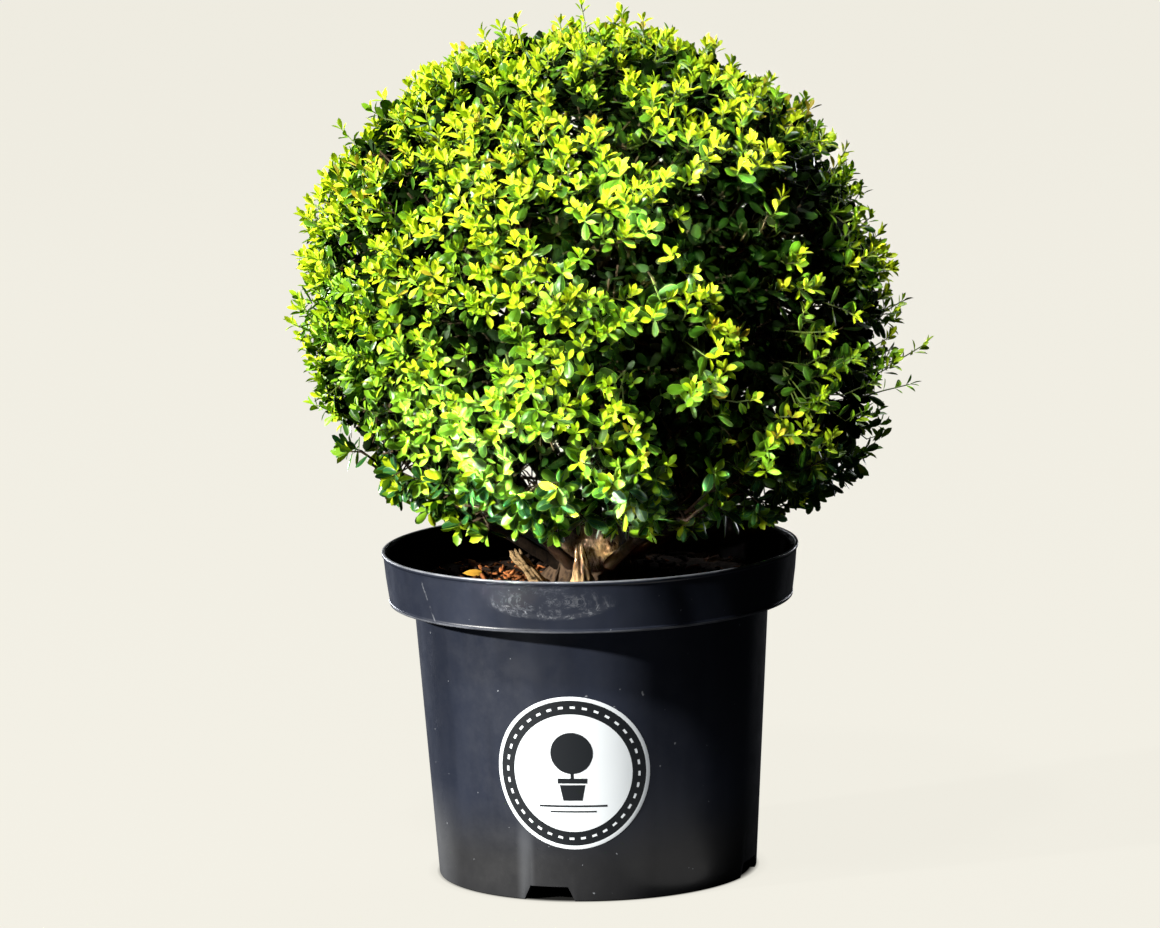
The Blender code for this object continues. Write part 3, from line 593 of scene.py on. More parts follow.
def sweep(lines, radii, sides):
    """A round profile carried along each line: point + radius (side cos a + across sin a), where side is
    turned as little as the line allows. Lines is n by k by 3, and radii n by k or n by k by sides."""
    count, stations = lines.shape[:2]
    ahead = unit(np.gradient(lines, axis=1))
    helper = np.where(np.abs(ahead[:, 0, 2:3]) > 0.9, (1.0, 0.0, 0.0), UP)
    side = unit(np.cross(ahead[:, 0], helper))
    angles = 2 * np.pi * np.arange(sides) / sides
    if radii.ndim == 2:
        radii = np.repeat(radii[..., None], sides, axis=2)
    points = np.empty((count, stations, sides, 3))
    for k in range(stations):
        side = unit(side - ahead[:, k] * np.sum(side * ahead[:, k], axis=1, keepdims=True))
        across = np.cross(ahead[:, k], side)
        ring = side[:, None] * np.cos(angles)[:, None] + across[:, None] * np.sin(angles)[:, None]
        points[:, k] = lines[:, k, None] + ring * radii[:, k, :, None]
    quads = grid_quads(stations, sides, closed=True)
    starts = np.arange(count)[:, None, None] * stations * sides
    walls = (quads + starts).reshape(-1, 4)
    ring = np.arange(sides)
    feet = ring[::-1] + starts[:, 0]
    tips = ring + (stations - 1) * sides + starts[:, 0]
    return points.reshape(-1, 3), [walls, np.concatenate([feet, tips])]


def twig_mesh(routes, first_radius, last_radius, stations, sides):
    """Thin round twigs along quadratic routes, tapering evenly."""
    shares = np.linspace(0, 1, stations)
    shape = (len(routes), stations)
    radii = first_radius * (1 - shares) + last_radius * shares
    lines = curve_points(routes[:, None], np.broadcast_to(shares, shape))
    return sweep(lines, np.broadcast_to(radii, shape), sides)


def join_meshes(meshes):
    """Several meshes as one: their points in a row, and faces of equal counts together."""
    by_count = {}
    start = 0
    for points, faces in meshes:
        for part in faces:
            by_count.setdefault(part.shape[1], []).append(part + start)
        start += len(points)
    faces = [np.concatenate(by_count[count]) for count in sorted(by_count)]
    return np.concatenate([points for points, _ in meshes]), faces


# Materials


def scaled(colour, share):
    """A colour made darker or lighter by a share."""
    return tuple(share * channel for channel in colour)


def plain_finish(name, colour, roughness, specular=0.5):
    """A Principled material with its colour, roughness and specular level set on their own sockets."""
    made = bpy.data.materials.new(name)
    made.use_nodes = True
    shader = made.node_tree.nodes["Principled BSDF"]
    shader.inputs["Base Color"].default_value = (*colour, 1.0)
    shader.inputs["Roughness"].default_value = roughness
    shader.inputs["Specular IOR Level"].default_value = specular
    return made, made.node_tree, shader


def object_noise(tree, scale, detail=4.0, stretch=(1, 1, 1), roughness=0.5, lean=0.0):
    """A noise texture over Object coordinates, stretched along the axes and leaned round Y. Returns its
    Fac socket."""
    place = tree.nodes.new("ShaderNodeTexCoord")
    mapping = tree.nodes.new("ShaderNodeMapping")
    mapping.inputs["Scale"].default_value = stretch
    mapping.inputs["Rotation"].default_value = (0, lean, 0)
    texture = tree.nodes.new("ShaderNodeTexNoise")
    texture.inputs["Scale"].default_value = scale
    texture.inputs["Detail"].default_value = detail
    texture.inputs["Roughness"].default_value = roughness
    tree.links.new(place.outputs["Object"], mapping.inputs["Vector"])
    tree.links.new(mapping.outputs["Vector"], texture.inputs["Vector"])
    return texture.outputs["Fac"]


def ramp(tree, value, stops):
    """A colour ramp over a value; stops are pairs of place and colour."""
    node = tree.nodes.new("ShaderNodeValToRGB")
    band = node.color_ramp
    while len(band.elements) < len(stops):
        band.elements.new(0.5)
    for element, (place, colour) in zip(band.elements, stops):
        element.position = place
        element.color = (*colour, 1.0) if len(colour) == 3 else colour
    tree.links.new(value, node.inputs["Fac"])
    return node.outputs["Color"]


def share_ramp(tree, value, start, end):
    """A straight rise from 0 where the value is at start to 1 where it is at end."""
    return ramp(tree, value, ((start, BLACK), (end, WHITE)))


def fade(tree, value, start, end):
    """A smooth step that is 0 where the value is at start and 1 where it is at end."""
    node = tree.nodes.new("ShaderNodeMapRange")
    node.interpolation_type = "SMOOTHSTEP"
    tree.links.new(value, node.inputs["Value"])
    node.inputs["From Min"].default_value = start
    node.inputs["From Max"].default_value = end
    return node.outputs["Result"]


def math_node(tree, operation, first, second=0.0):
    """A Math node of two values, where each is a socket or a number."""
    node = tree.nodes.new("ShaderNodeMath")
    node.operation = operation
    for socket, value in zip(node.inputs, (first, second)):
        if isinstance(value, (int, float)):
            socket.default_value = value
        else:
            tree.links.new(value, socket)
    return node.outputs["Value"]


def times(tree, first, *others):
    """The product of several values."""
    for other in others:
        first = math_node(tree, "MULTIPLY", first, other)
    return first


def most(tree, first, *others):
    """The largest of several values."""
    for other in others:
        first = math_node(tree, "MAXIMUM", first, other)
    return first


def off_from(tree, value, middle):
    """How far a value is from a middle, without its sign."""
    return math_node(tree, "ABSOLUTE", math_node(tree, "SUBTRACT", value, middle))


def distance_from(tree, middle):
    """How far each point of the piece is from one place."""
    place = tree.nodes.new("ShaderNodeTexCoord")
    away = tree.nodes.new("ShaderNodeVectorMath")
    away.operation = "DISTANCE"
    away.inputs[1].default_value = middle
    tree.links.new(place.outputs["Object"], away.inputs[0])
    return away.outputs["Value"]


def blend_colours(tree, share, first, second):
    """Mixes two colours by a share; each is a socket or a plain colour."""
    node = tree.nodes.new("ShaderNodeMix")
    node.data_type = "RGBA"
    tree.links.new(share, node.inputs["Factor"])
    for name, value in (("A", first), ("B", second)):
        socket = next(s for s in node.inputs if s.name == name and s.type == "RGBA")
        if isinstance(value, tuple):
            socket.default_value = (*value, 1.0)
        else:
            tree.links.new(value, socket)
    return next(s for s in node.outputs if s.type == "RGBA")


def bump(tree, shader, height, strength, distance):
    """Fine relief in the shader from a height."""
    node = tree.nodes.new("ShaderNodeBump")
    node.inputs["Strength"].default_value = strength
    node.inputs["Distance"].default_value = distance
    tree.links.new(height, node.inputs["Height"])
    tree.links.new(node.outputs["Normal"], shader.inputs["Normal"])


def speckled_finish(name, colour, roughness, scale, detail, strength, distance):
    """One plain colour with fine unevenness."""
    made, tree, shader = plain_finish(name, colour, roughness)
    bump(tree, shader, object_noise(tree, scale, detail), strength, distance)
    return made


def leaf_finish(name, colour, roughness, specular):
    """A glossy leaf of one plain colour, with the faint unevenness of its skin."""
    made, tree, shader = plain_finish(name, colour, roughness, specular)
    bump(tree, shader, object_noise(tree, 420, 2.0), 0.25, 0.0006)
    return made


def leaf_finishes(foliage, rows):
    """The leaf finishes of a table, with their colours from the settings."""
    return [
        leaf_finish(name, scaled(getattr(foliage, colour), share), roughness, specular)
        for name, colour, share, roughness, specular in rows
    ]


def bark_grain(tree, scale, stretch):
    """Fine streaks along the stems."""
    return object_noise(tree, scale, 6.0, (1, 1, stretch), 0.65)


def bark_colour(tree, grain, dark, light):
    """Light streaks between dark ones."""
    return ramp(tree, grain, ((0.34, dark), (0.56, light), (0.72, dark)))


def bark_finish(name, dark, light, scale=210, stretch=0.45):
    """Rough bark: fine streaks along the stems between a dark and a light colour."""
    made, tree, shader = plain_finish(name, dark, 0.9, 0.06)
    grain = bark_grain(tree, scale, stretch)
    tree.links.new(bark_colour(tree, grain, dark, light), shader.inputs["Base Color"])
    bump(tree, shader, grain, 0.8, 0.0012)
    return made


def painted_light_bark_finish(name, dark, light, bare, middle, reach):
    """Rough bark with one pale patch painted on as a pool of light, streaked by the grain: the share of
    painted light falls off with the distance from the patch's middle."""
    made, tree, shader = plain_finish(name, dark, 0.86, 0.1)
    grain = bark_grain(tree, 210, 0.45)
    bark = bark_colour(tree, grain, dark, light)
    # Streaky painted light: the patch's pale colour follows the grain.
    streaky_painted_light = ramp(tree, grain, ((0.36, dark), (0.52, bare), (0.70, scaled(bare, 0.45))))
    patch = fade(tree, distance_from(tree, middle), reach, 0.55 * reach)
    tree.links.new(blend_colours(tree, patch, bark, streaky_painted_light), shader.inputs["Base Color"])
    bump(tree, shader, grain, 0.9, 0.0015)
    return made


def crumb_finish(name, dark, light):
    """Moist crumbs of peat and bark."""
    made, tree, shader = plain_finish(name, dark, 0.9, 0.05)
    grain = object_noise(tree, 160, 5.0, roughness=0.6)
    tree.links.new(ramp(tree, grain, ((0.38, dark), (0.7, light))), shader.inputs["Base Color"])
    bump(tree, shader, grain, 0.9, 0.002)
    return made


# The pot and its label


def body_radius(height):
    """Outer radius of the pot's body, which tapers evenly from the collar down to the base."""
    return BASE_RADIUS + (BODY_TOP_RADIUS - BASE_RADIUS) * height / COLLAR_FOOT


def collar_radius(height):
    """Outer radius of the collar, which flares from its foot to the rim."""
    share = (height - COLLAR_FOOT) / (POT_HEIGHT - COLLAR_FOOT)
    return COLLAR_FOOT_RADIUS + (RIM_RADIUS - COLLAR_FOOT_RADIUS) * share


def rounded_section(corners, steps=4):
    """A section with its corners rounded: at each corner c with fillet f, the curve
    (1-t)^2 a + 2 t (1-t) c + t^2 b between the points a and b that lie f before and after c."""
    places = np.array([corner[:2] for corner in corners])
    section = [places[:1]]
    t = np.linspace(0, 1, steps + 1)[:, None]
    for before, here, after, corner in zip(places, places[1:], places[2:], corners[1:-1]):
        if corner[2] == 0:
            section.append(here[None])
            continue
        a = here + unit(before - here) * corner[2]
        b = here + unit(after - here) * corner[2]
        section.append(a * (1 - t) ** 2 + here * 2 * t * (1 - t) + b * t**2)
    section.append(places[-1:])
    return np.concatenate(section)


def pot_section():
    """The pot's section from the middle of its underside, up the outside, and down to its floor, as rows
    of radius, height and fillet."""
    inner_floor = FLOOR_RAISE + FLOOR
    shoulder = COLLAR_FOOT + WALL
    foot_ring = BASE_RADIUS - FOOT_RING_WIDTH
    inner_pad = FOOT_PAD_RADIUS - WALL
    inner_rim = RIM_RADIUS - WALL
    return rounded_section((
        (0, 0, 0),
        (FOOT_PAD_RADIUS, 0, 0.0012),
        (FOOT_PAD_RADIUS, FLOOR_RAISE, 0.0012),
        (foot_ring, FLOOR_RAISE, 0.001),
        (foot_ring, 0, 0.0008),
        (BASE_RADIUS, 0, 0.0014),
        *((body_radius(height), height, 0) for height in (FLOOR_RAISE, 0.05, 0.12, 0.19)),
        (BODY_TOP_RADIUS, COLLAR_FOOT, 0.0009),
        (COLLAR_FOOT_RADIUS + COLLAR_BEAD / 2, COLLAR_FOOT, 0.0011),
        (collar_radius(0.2345) + COLLAR_BEAD / 2, 0.2345, 0.0007),
        (collar_radius(0.2355), 0.2355, 0.0008),
        (collar_radius(0.2545), 0.2545, 0),
        (collar_radius(0.2722) - 0.0008, 0.2722, 0.0007),
        (RIM_RADIUS, RIM_FOOT, 0.0007),
        (RIM_RADIUS, POT_HEIGHT, 0.0011),
        (inner_rim, POT_HEIGHT, 0.0011),
        (collar_radius(shoulder) - WALL, shoulder, 0.0012),
        (body_radius(shoulder) - WALL, shoulder, 0.001),
        (body_radius(inner_floor) - WALL, inner_floor, 0.001),
        (inner_pad, inner_floor, 0.001),
        (inner_pad, FLOOR, 0.001),
        (0, FLOOR, 0),
    ))


def notch_rise(turns):
    """How high the foot ring's lower edge stands at each turn: a trapezoid over each drain notch."""
    spacing = 2 * np.pi / NOTCH_COUNT
    off = (turns - NOTCH_TURN + spacing / 2) % spacing - spacing / 2
    share = (NOTCH_FOOT_HALF - np.abs(off) * BASE_RADIUS) / (NOTCH_FOOT_HALF - NOTCH_TOP_HALF)
    return NOTCH_HEIGHT * np.clip(share, 0, 1)


def front_point(radius, turn, height):
    """A point at a turn from the front, positive towards +X."""
    return np.stack([radius * np.sin(turn), -radius * np.cos(turn), height], axis=-1)


def pole_fans(rows, columns, first_pole, last_pole):
    """Triangles from a grid's first row to one pole and from its last row to the other, turned as the
    grid's own faces are."""
    ring = np.arange(columns)
    after = (ring + 1) % columns
    last = (rows - 1) * columns
    return np.concatenate([
        np.stack([np.full(columns, first_pole), after, ring], axis=1),
        np.stack([last + ring, last + after, np.full(columns, last_pole)], axis=1),
    ])


def pot_mesh():
    """The section carried round the axis. Below the raised floor, the foot ring's heights z become
    rise + z (1 - rise / floor raise), where rise is the notch's at that turn."""
    corners = np.array([-NOTCH_FOOT_HALF, -NOTCH_TOP_HALF, NOTCH_TOP_HALF, NOTCH_FOOT_HALF]) / BASE_RADIUS
    middles = NOTCH_TURN + 2 * np.pi * np.arange(NOTCH_COUNT) / NOTCH_COUNT
    even = 2 * np.pi * np.arange(POT_COLUMNS) / POT_COLUMNS
    turns = np.concatenate([(middles[:, None] + corners).ravel() % (2 * np.pi), even])
    turns = np.unique(np.round(turns, 9))
    section = pot_section()
    radius, height = section[1:-1, 0], section[1:-1, 1]
    in_ring = (radius > FOOT_PAD_RADIUS + 0.002) & (height < FLOOR_RAISE)
    rise = notch_rise(turns)[None, :] * in_ring[:, None]
    heights = rise + height[:, None] * (1 - rise / FLOOR_RAISE)
    rings = front_point(np.broadcast_to(radius[:, None], heights.shape), turns[None, :], heights)
    rows, columns = heights.shape
    points = np.concatenate([rings.reshape(-1, 3), [[0, 0, section[0, 1]], [0, 0, section[-1, 1]]]])
    fans = pole_fans(rows, columns, len(points) - 2, len(points) - 1)
    return points, [grid_quads(rows, columns, closed=True), fans]


def collar_scuffs(tree, x, z, on_front, broken):
    """Pale scuffs on the collar: curved strokes inside an oval, rubbed most along its lower edge, over a
    faint haze. The oval's value is sqrt(a^2 + b^2), with a and b the shares of its half axes."""
    across = math_node(tree, "DIVIDE", off_from(tree, x, SCUFF_MIDDLE[0]), SCUFF_HALF[0])
    up = math_node(tree, "DIVIDE", off_from(tree, z, SCUFF_MIDDLE[1]), SCUFF_HALF[1])
    squares = math_node(tree, "ADD", times(tree, across, across), times(tree, up, up))
    oval = math_node(tree, "SQRT", squares)
    inside = times(tree, fade(tree, oval, 1.20, 0.7), 0.40)
    lower_edge = times(tree, fade(tree, off_from(tree, oval, 0.96), 0.26, 0.04), fade(tree, z, 0.262, 0.252))
    scuffed = times(tree, most(tree, inside, lower_edge), on_front)
    strokes = []
    for scale, lean in SCUFF_STROKES:
        leaned = math_node(tree, "ADD", x, times(tree, z, lean))
        arcs = tree.nodes.new("ShaderNodeCombineXYZ")
        tree.links.new(times(tree, leaned, 0.30), arcs.inputs["X"])
        tree.links.new(times(tree, oval, SCUFF_HALF[1]), arcs.inputs["Z"])
        wisps = tree.nodes.new("ShaderNodeTexNoise")
        wisps.inputs["Scale"].default_value = 330 * scale
        wisps.inputs["Detail"].default_value = 3.0
        wisps.inputs["Distortion"].default_value = 0.5
        tree.links.new(arcs.outputs["Vector"], wisps.inputs["Vector"])
        strokes.append(ramp(tree, wisps.outputs["Fac"], ((0.475, BLACK), (0.50, WHITE), (0.525, BLACK))))
    scratches = times(tree, most(tree, *strokes), broken, scuffed)
    return most(tree, times(tree, scratches, 0.55), times(tree, scuffed, 0.045))


def long_scratch(tree, x, z, on_front, broken):
    """One thin slanting scratch on the collar: x + slant z is a constant along it."""
    climb = times(tree, math_node(tree, "SUBTRACT", z, SCRATCH_PLACE[1]), SCRATCH_SLANT)
    slant = math_node(tree, "ADD", math_node(tree, "ADD", x, -SCRATCH_PLACE[0]), climb)
    line = fade(tree, off_from(tree, slant, 0.0), 0.0008, 0.0002)
    ends = times(tree, fade(tree, z, 0.233, 0.236), fade(tree, z, 0.267, 0.265))
    return times(tree, line, on_front, ends, broken, 0.28)


def painted_edge_highlight(tree, z, level):
    """A painted highlight: a pale line along the rim and along the collar's lower edge, broken up by noise.
    """
    # Painted highlight: the rim and the collar's lower edge are painted pale.
    rim = fade(tree, z, 0.2744, 0.2752)
    foot_line = times(tree, fade(tree, off_from(tree, z, 0.2330), 0.0014, 0.0006),
                      fade(tree, level, 0.1665, 0.168))
    streaky_painted_light = ramp(tree, object_noise(tree, 60, 4.0), ((0.35, (0.45, 0.45, 0.45)), (0.6, WHITE)))
    return times(tree, most(tree, rim, times(tree, foot_line, 0.6)), streaky_painted_light, 0.46)


def foot_dust_and_streak(tree, x, z, on_front):
    """A pale upright streak beside the front notch, painted as a highlight, and dust at the foot of the left
    side.
    """
    # Painted highlight: a pale upright streak on the lower front.
    painted_streak = times(tree, fade(tree, off_from(tree, x, PAINTED_STREAK_X), 0.009, 0.001),
                  fade(tree, z, 0.085, 0.045), on_front, 0.11)
    dust = times(tree, fade(tree, z, 0.095, 0.030), fade(tree, x, -0.112, -0.140), 0.15)
    return most(tree, painted_streak, dust)


def inside_collar(tree, z, level):
    """1 on the collar's inner wall, which is dull and painted near black as shade, and 0 elsewhere. The
    collar's outside is where level - flare z is a constant, and its inside where that is smaller by the wall."""
    flare = (RIM_RADIUS - COLLAR_FOOT_RADIUS) / (POT_HEIGHT - COLLAR_FOOT)
    middle = COLLAR_FOOT_RADIUS - COLLAR_FOOT * flare - WALL / 2
    spread = math_node(tree, "SUBTRACT", level, times(tree, z, flare))
    return times(tree, fade(tree, spread, middle + 0.0004, middle - 0.0004),
                 fade(tree, z, 0.2360, 0.2370), fade(tree, z, 0.2757, 0.2745))


def pot_finish(colour):
    """Satin black plastic: faint upright streaks, dust, scuffs, a long scratch and specks, greyer towards the
    foot, with painted highlights along the rim, the collar's lower edge and beside the front notch, and
    painted shade on the collar's inner wall.
    """
    made, tree, shader = plain_finish("satin_black_plastic", colour, 0.36, 0.5)
    streaks = share_ramp(tree, object_noise(tree, 22, 4.0, (1, 1, 0.12)), 0.3, 0.75)
    dust = object_noise(tree, 55, 6.0, roughness=0.7)
    place = tree.nodes.new("ShaderNodeTexCoord")
    split = tree.nodes.new("ShaderNodeSeparateXYZ")
    tree.links.new(place.outputs["Object"], split.inputs["Vector"])
    x, y, z = (split.outputs[axis] for axis in "XYZ")
    squares = math_node(tree, "ADD", times(tree, x, x), times(tree, y, y))
    level = math_node(tree, "SQRT", squares)
    on_front = math_node(tree, "LESS_THAN", y, FRONT_Y)
    broken = share_ramp(tree, object_noise(tree, 190, 3.0), 0.44, 0.60)
    specks = share_ramp(tree, object_noise(tree, 210, 1.0), 0.79, 0.80)
    wear_and_highlights = most(
        tree,
        collar_scuffs(tree, x, z, on_front, broken),
        long_scratch(tree, x, z, on_front, broken),
        painted_edge_highlight(tree, z, level),
        foot_dust_and_streak(tree, x, z, on_front),
        times(tree, specks, 0.5),
    )
    inner = inside_collar(tree, z, level)
    streaked = blend_colours(tree, streaks, colour, tuple(channel * 1.9 + 0.004 for channel in colour))
    # Greyer and lighter towards the foot.
    greyer_towards_foot = blend_colours(tree, fade(tree, z, 0.090, 0.025), streaked, (0.0190, 0.0195, 0.0215))
    # The pale colour of the scuffs, the scratch, the dust and the specks, which also paints the highlights
    # along the edges and beside the front notch.
    worn_and_highlit = blend_colours(tree, wear_and_highlights, greyer_towards_foot, (0.36, 0.38, 0.42))
    rough = ramp(tree, dust, ((0.3, (0.30, 0.30, 0.30)), (0.7, (0.44, 0.44, 0.44))))
    rough = math_node(tree, "ADD", rough, times(tree, inner, 0.4))
    gloss = math_node(tree, "SUBTRACT", 0.5, times(tree, inner, 0.46))
    # The collar's inner wall is painted near black, as painted shade.
    tree.links.new(blend_colours(tree, inner, worn_and_highlit, (0.003, 0.003, 0.004)), shader.inputs["Base Color"])
    tree.links.new(rough, shader.inputs["Roughness"])
    tree.links.new(gloss, shader.inputs["Specular IOR Level"])
    bump(tree, shader, dust, 0.10, 0.0006)
    return made


def on_pot(along, height, lift):
    """A point on the pot's body: along is the distance from the label's middle, measured round the pot."""
    turn = LABEL_TURN + along / body_radius(LABEL_HEIGHT)
    return front_point(body_radius(height) + lift, turn, height)


def label_mesh(radius):
    """A disc laid on the pot, on a grid of r and angle: along = r cos a and height = r sin a. It has an
    upper skin, and a rim that goes down to the pot. Each ring of faces is white or dark."""
    shares = np.array((*LABEL_RINGS, 1.0))
    lifts = np.full(len(shares), FILM)
    lifts[-2:] = 0.6 * FILM, -FILM
    angles = 2 * np.pi * np.arange(LABEL_COLUMNS) / LABEL_COLUMNS
    along = radius * shares[:, None] * np.cos(angles)
    height = LABEL_HEIGHT + radius * shares[:, None] * np.sin(angles)
    rings = on_pot(along, height, lifts[:, None])
    middle = on_pot(np.zeros(1), np.array([LABEL_HEIGHT]), FILM)
    points = np.concatenate([rings.reshape(-1, 3), middle])
    quads = grid_quads(len(shares), LABEL_COLUMNS, closed=True)[:, ::-1]
    ring = np.arange(LABEL_COLUMNS)
    fan = np.stack([np.full(LABEL_COLUMNS, len(points) - 1), ring, (ring + 1) % LABEL_COLUMNS], axis=1)
    inner_edges = shares[np.repeat(np.arange(len(shares) - 1), LABEL_COLUMNS)]
    dark = (inner_edges >= LABEL_FIELD) & (inner_edges < LABEL_RING)
    return points, [quads, fan], np.concatenate([dark.astype(int), np.zeros(LABEL_COLUMNS, int)])


def printed_patch(low_edge, high_edge, columns=24, rows=5):
    """A flat print on the label between two edges, each a function from a share 0..1 to (along, up): the
    point at (s, t) is low(s) (1 - t) + high(s) t."""
    s = np.linspace(0, 1, columns)
    t = np.linspace(0, 1, rows)[:, None, None]
    flat = np.stack(low_edge(s), axis=-1) * (1 - t) + np.stack(high_edge(s), axis=-1) * t
    points = on_pot(flat[..., 0], LABEL_HEIGHT + flat[..., 1], PRINT_LIFT)
    return points.reshape(-1, 3), [grid_quads(rows, columns)]


def label_print_meshes(radius):
    """A clipped ball on its stem in a small pot, two rules under it, and white dashes round the dark ring."""

    def bar_edge(half, up):
        return lambda s: (half * radius * (2 * s - 1), np.full(len(s), up * radius))

    def ball_edge(side):
        ball, up = radius * np.array(PICTURE_BALL)
        return lambda s: (-ball * np.cos(np.pi * s), up + side * ball * np.sin(np.pi * s))

    def dash_edge(share, first):
        reach = share * radius
        span = 2 * np.pi / DASHES * DASH_SHARE
        return lambda s: (reach * np.cos(first - span * s), reach * np.sin(first - span * s))

    dark = [printed_patch(ball_edge(-1), ball_edge(1), rows=9)]
    for low_half, high_half, low, high in PICTURE_BARS:
        dark.append(printed_patch(bar_edge(low_half, low), bar_edge(high_half, high)))
    white = []
    for first in 2 * np.pi * np.arange(DASHES) / DASHES:
        inner, outer = (dash_edge(share, first) for share in DASH_BAND)
        white.append(printed_patch(inner, outer, columns=5, rows=2))
    return dark, white


# The soil


def soil_top(points, rough):
    """The soil's height over level points: a mound from the wall to the trunk's patch, with crumbs."""
    level = np.hypot(points[..., 0], points[..., 1])
    edge = collar_radius(SOIL_LEVEL) - WALL
    share = np.clip((edge - level) / (edge - SOIL_PATCH), 0, 1)
    crumbs = layered_noise(points * (1, 1, 0), CRUMB_GRAIN, 5, 4) * 0.5
    return SOIL_LEVEL + SOIL_MOUND * share + crumbs * rough


def soil_mesh(rough):
    """The soil's surface on a grid of radius and turn, closed by a wall and a flat underside."""
    edge = collar_radius(SOIL_LEVEL) - WALL - SOIL_CLEARANCE
    foot_edge = collar_radius(SOIL_FOOT) - WALL - SOIL_CLEARANCE
    radii = np.append(np.linspace(SOIL_FIRST_RADIUS, edge, SOIL_ROWS), foot_edge)
    rings = round_grid(radii[:, None], 2 * np.pi * np.arange(SOIL_COLUMNS) / SOIL_COLUMNS)
    rings[:-1, :, 2] = soil_top(rings[:-1], rough)
    rings[-1, :, 2] = SOIL_FOOT
    points = np.concatenate([rings.reshape(-1, 3), [[0, 0, SOIL_LEVEL + SOIL_MOUND], [0, 0, SOIL_FOOT]]])
    rows = len(radii)
    fans = pole_fans(rows, SOIL_COLUMNS, len(points) - 2, len(points) - 1)
    return points, [grid_quads(rows, SOIL_COLUMNS, closed=True)[:, ::-1], fans[:, ::-1]]


def chip_places(rng, count, rough):
    """Where the bark chips lie, how long they are and which of them are in the heap at the left."""
    level = np.sqrt(rng.uniform(CHIP_RING[0] ** 2, CHIP_RING[1] ** 2, count))
    turn = rng.uniform(0, 2 * np.pi, count)
    lengths = rng.gamma(3.0, 0.0026, count).clip(*CHIP_LENGTHS)
    places = round_grid(level, turn)
    heap = np.arange(count) < count // CHIPS_PER_HEAPED
    places[heap, 0] = rng.uniform(*HEAP_X, heap.sum())
    places[heap, 1] = rng.uniform(*HEAP_Y, heap.sum())
    lengths[heap] = rng.uniform(*HEAP_LENGTHS, heap.sum())
    places[:, 2] = soil_top(places, rough) + lengths * (0.10 + 0.15 * heap)
    return places, lengths, heap


def chip_meshes(rng, places, lengths, headings, tilts):
    """Shards of bark: a five-cornered outline, thinner at its edges, above and below, laid on the soil."""
    count, corners = len(places), len(CHIP_OUTLINE)
    outline = np.array(CHIP_OUTLINE) + rng.normal(0, 0.07, (count, corners, 2))
    outline[..., 1] *= rng.uniform(0.4, 1, count)[:, None]
    flat = np.concatenate([outline, outline * 0.86], axis=1)
    thick = np.repeat((-0.09, 0.09), corners) * rng.uniform(0.5, 1.4, (count, 2 * corners))
    x, y, z = np.moveaxis(np.concatenate([flat, thick[..., None]], axis=2) * lengths[:, None, None], 2, 0)
    cos_h, sin_h = np.cos(headings)[:, None], np.sin(headings)[:, None]
    cos_t, sin_t = np.cos(tilts)[:, None], np.sin(tilts)[:, None]
    x, z = x * cos_t - z * sin_t, x * sin_t + z * cos_t
    turned = np.stack([x * cos_h - y * sin_h, x * sin_h + y * cos_h, z], axis=-1)
    ring = np.arange(corners)
    after = (ring + 1) % corners
    starts = np.arange(count)[:, None] * 2 * corners
    sides = np.stack([ring, after, after + corners, ring + corners], axis=1)
    sides = (sides[None] + starts[:, :, None]).reshape(-1, 4)
    caps = np.concatenate([ring[::-1] + starts, ring + corners + starts])
    return (turned + places[:, None]).reshape(-1, 3), [sides, caps]


# Wood


def bark_relief(turns, along, depth, seed):
    """Bark that stands out by depth: noise on (3 cos a, 3 sin a, distance along), folded at zero so that
    its creases run along the stem, plus slower swellings."""
    place = np.stack(np.broadcast_arrays(3 * np.cos(turns), 3 * np.sin(turns), along), axis=-1)
    creases = 1 - 2 * np.abs(noise(place * (1, 1, 0.35), 0.9, seed))
    flakes = noise(place, 0.45, seed + 1)
    swell = noise(place * (0.3, 0.3, 0.3), 1.0, seed + 2)
    return depth * (0.55 * creases + 0.35 * flakes + 0.9 * swell)


def barked_limb(route, radii, depth, seed, flare, sides=22, stations=46):
    """A bough along its route with bark on it, thicker at its foot by the flare."""
    shares = np.linspace(0, 1, stations)
    line = curve_points(route[None, None], shares[None])
    length = np.linalg.norm(np.diff(line[0], axis=0), axis=1).sum()
    radius = (radii[0] + (radii[1] - radii[0]) * shares) * (1 + flare * np.exp(-shares * 9))
    turns = 2 * np.pi * np.arange(sides) / sides
    relief = bark_relief(turns[None, :], shares[:, None] * length / BARK_SCALE, depth, seed)
    return sweep(line, (radius[:, None] + relief)[None], sides)


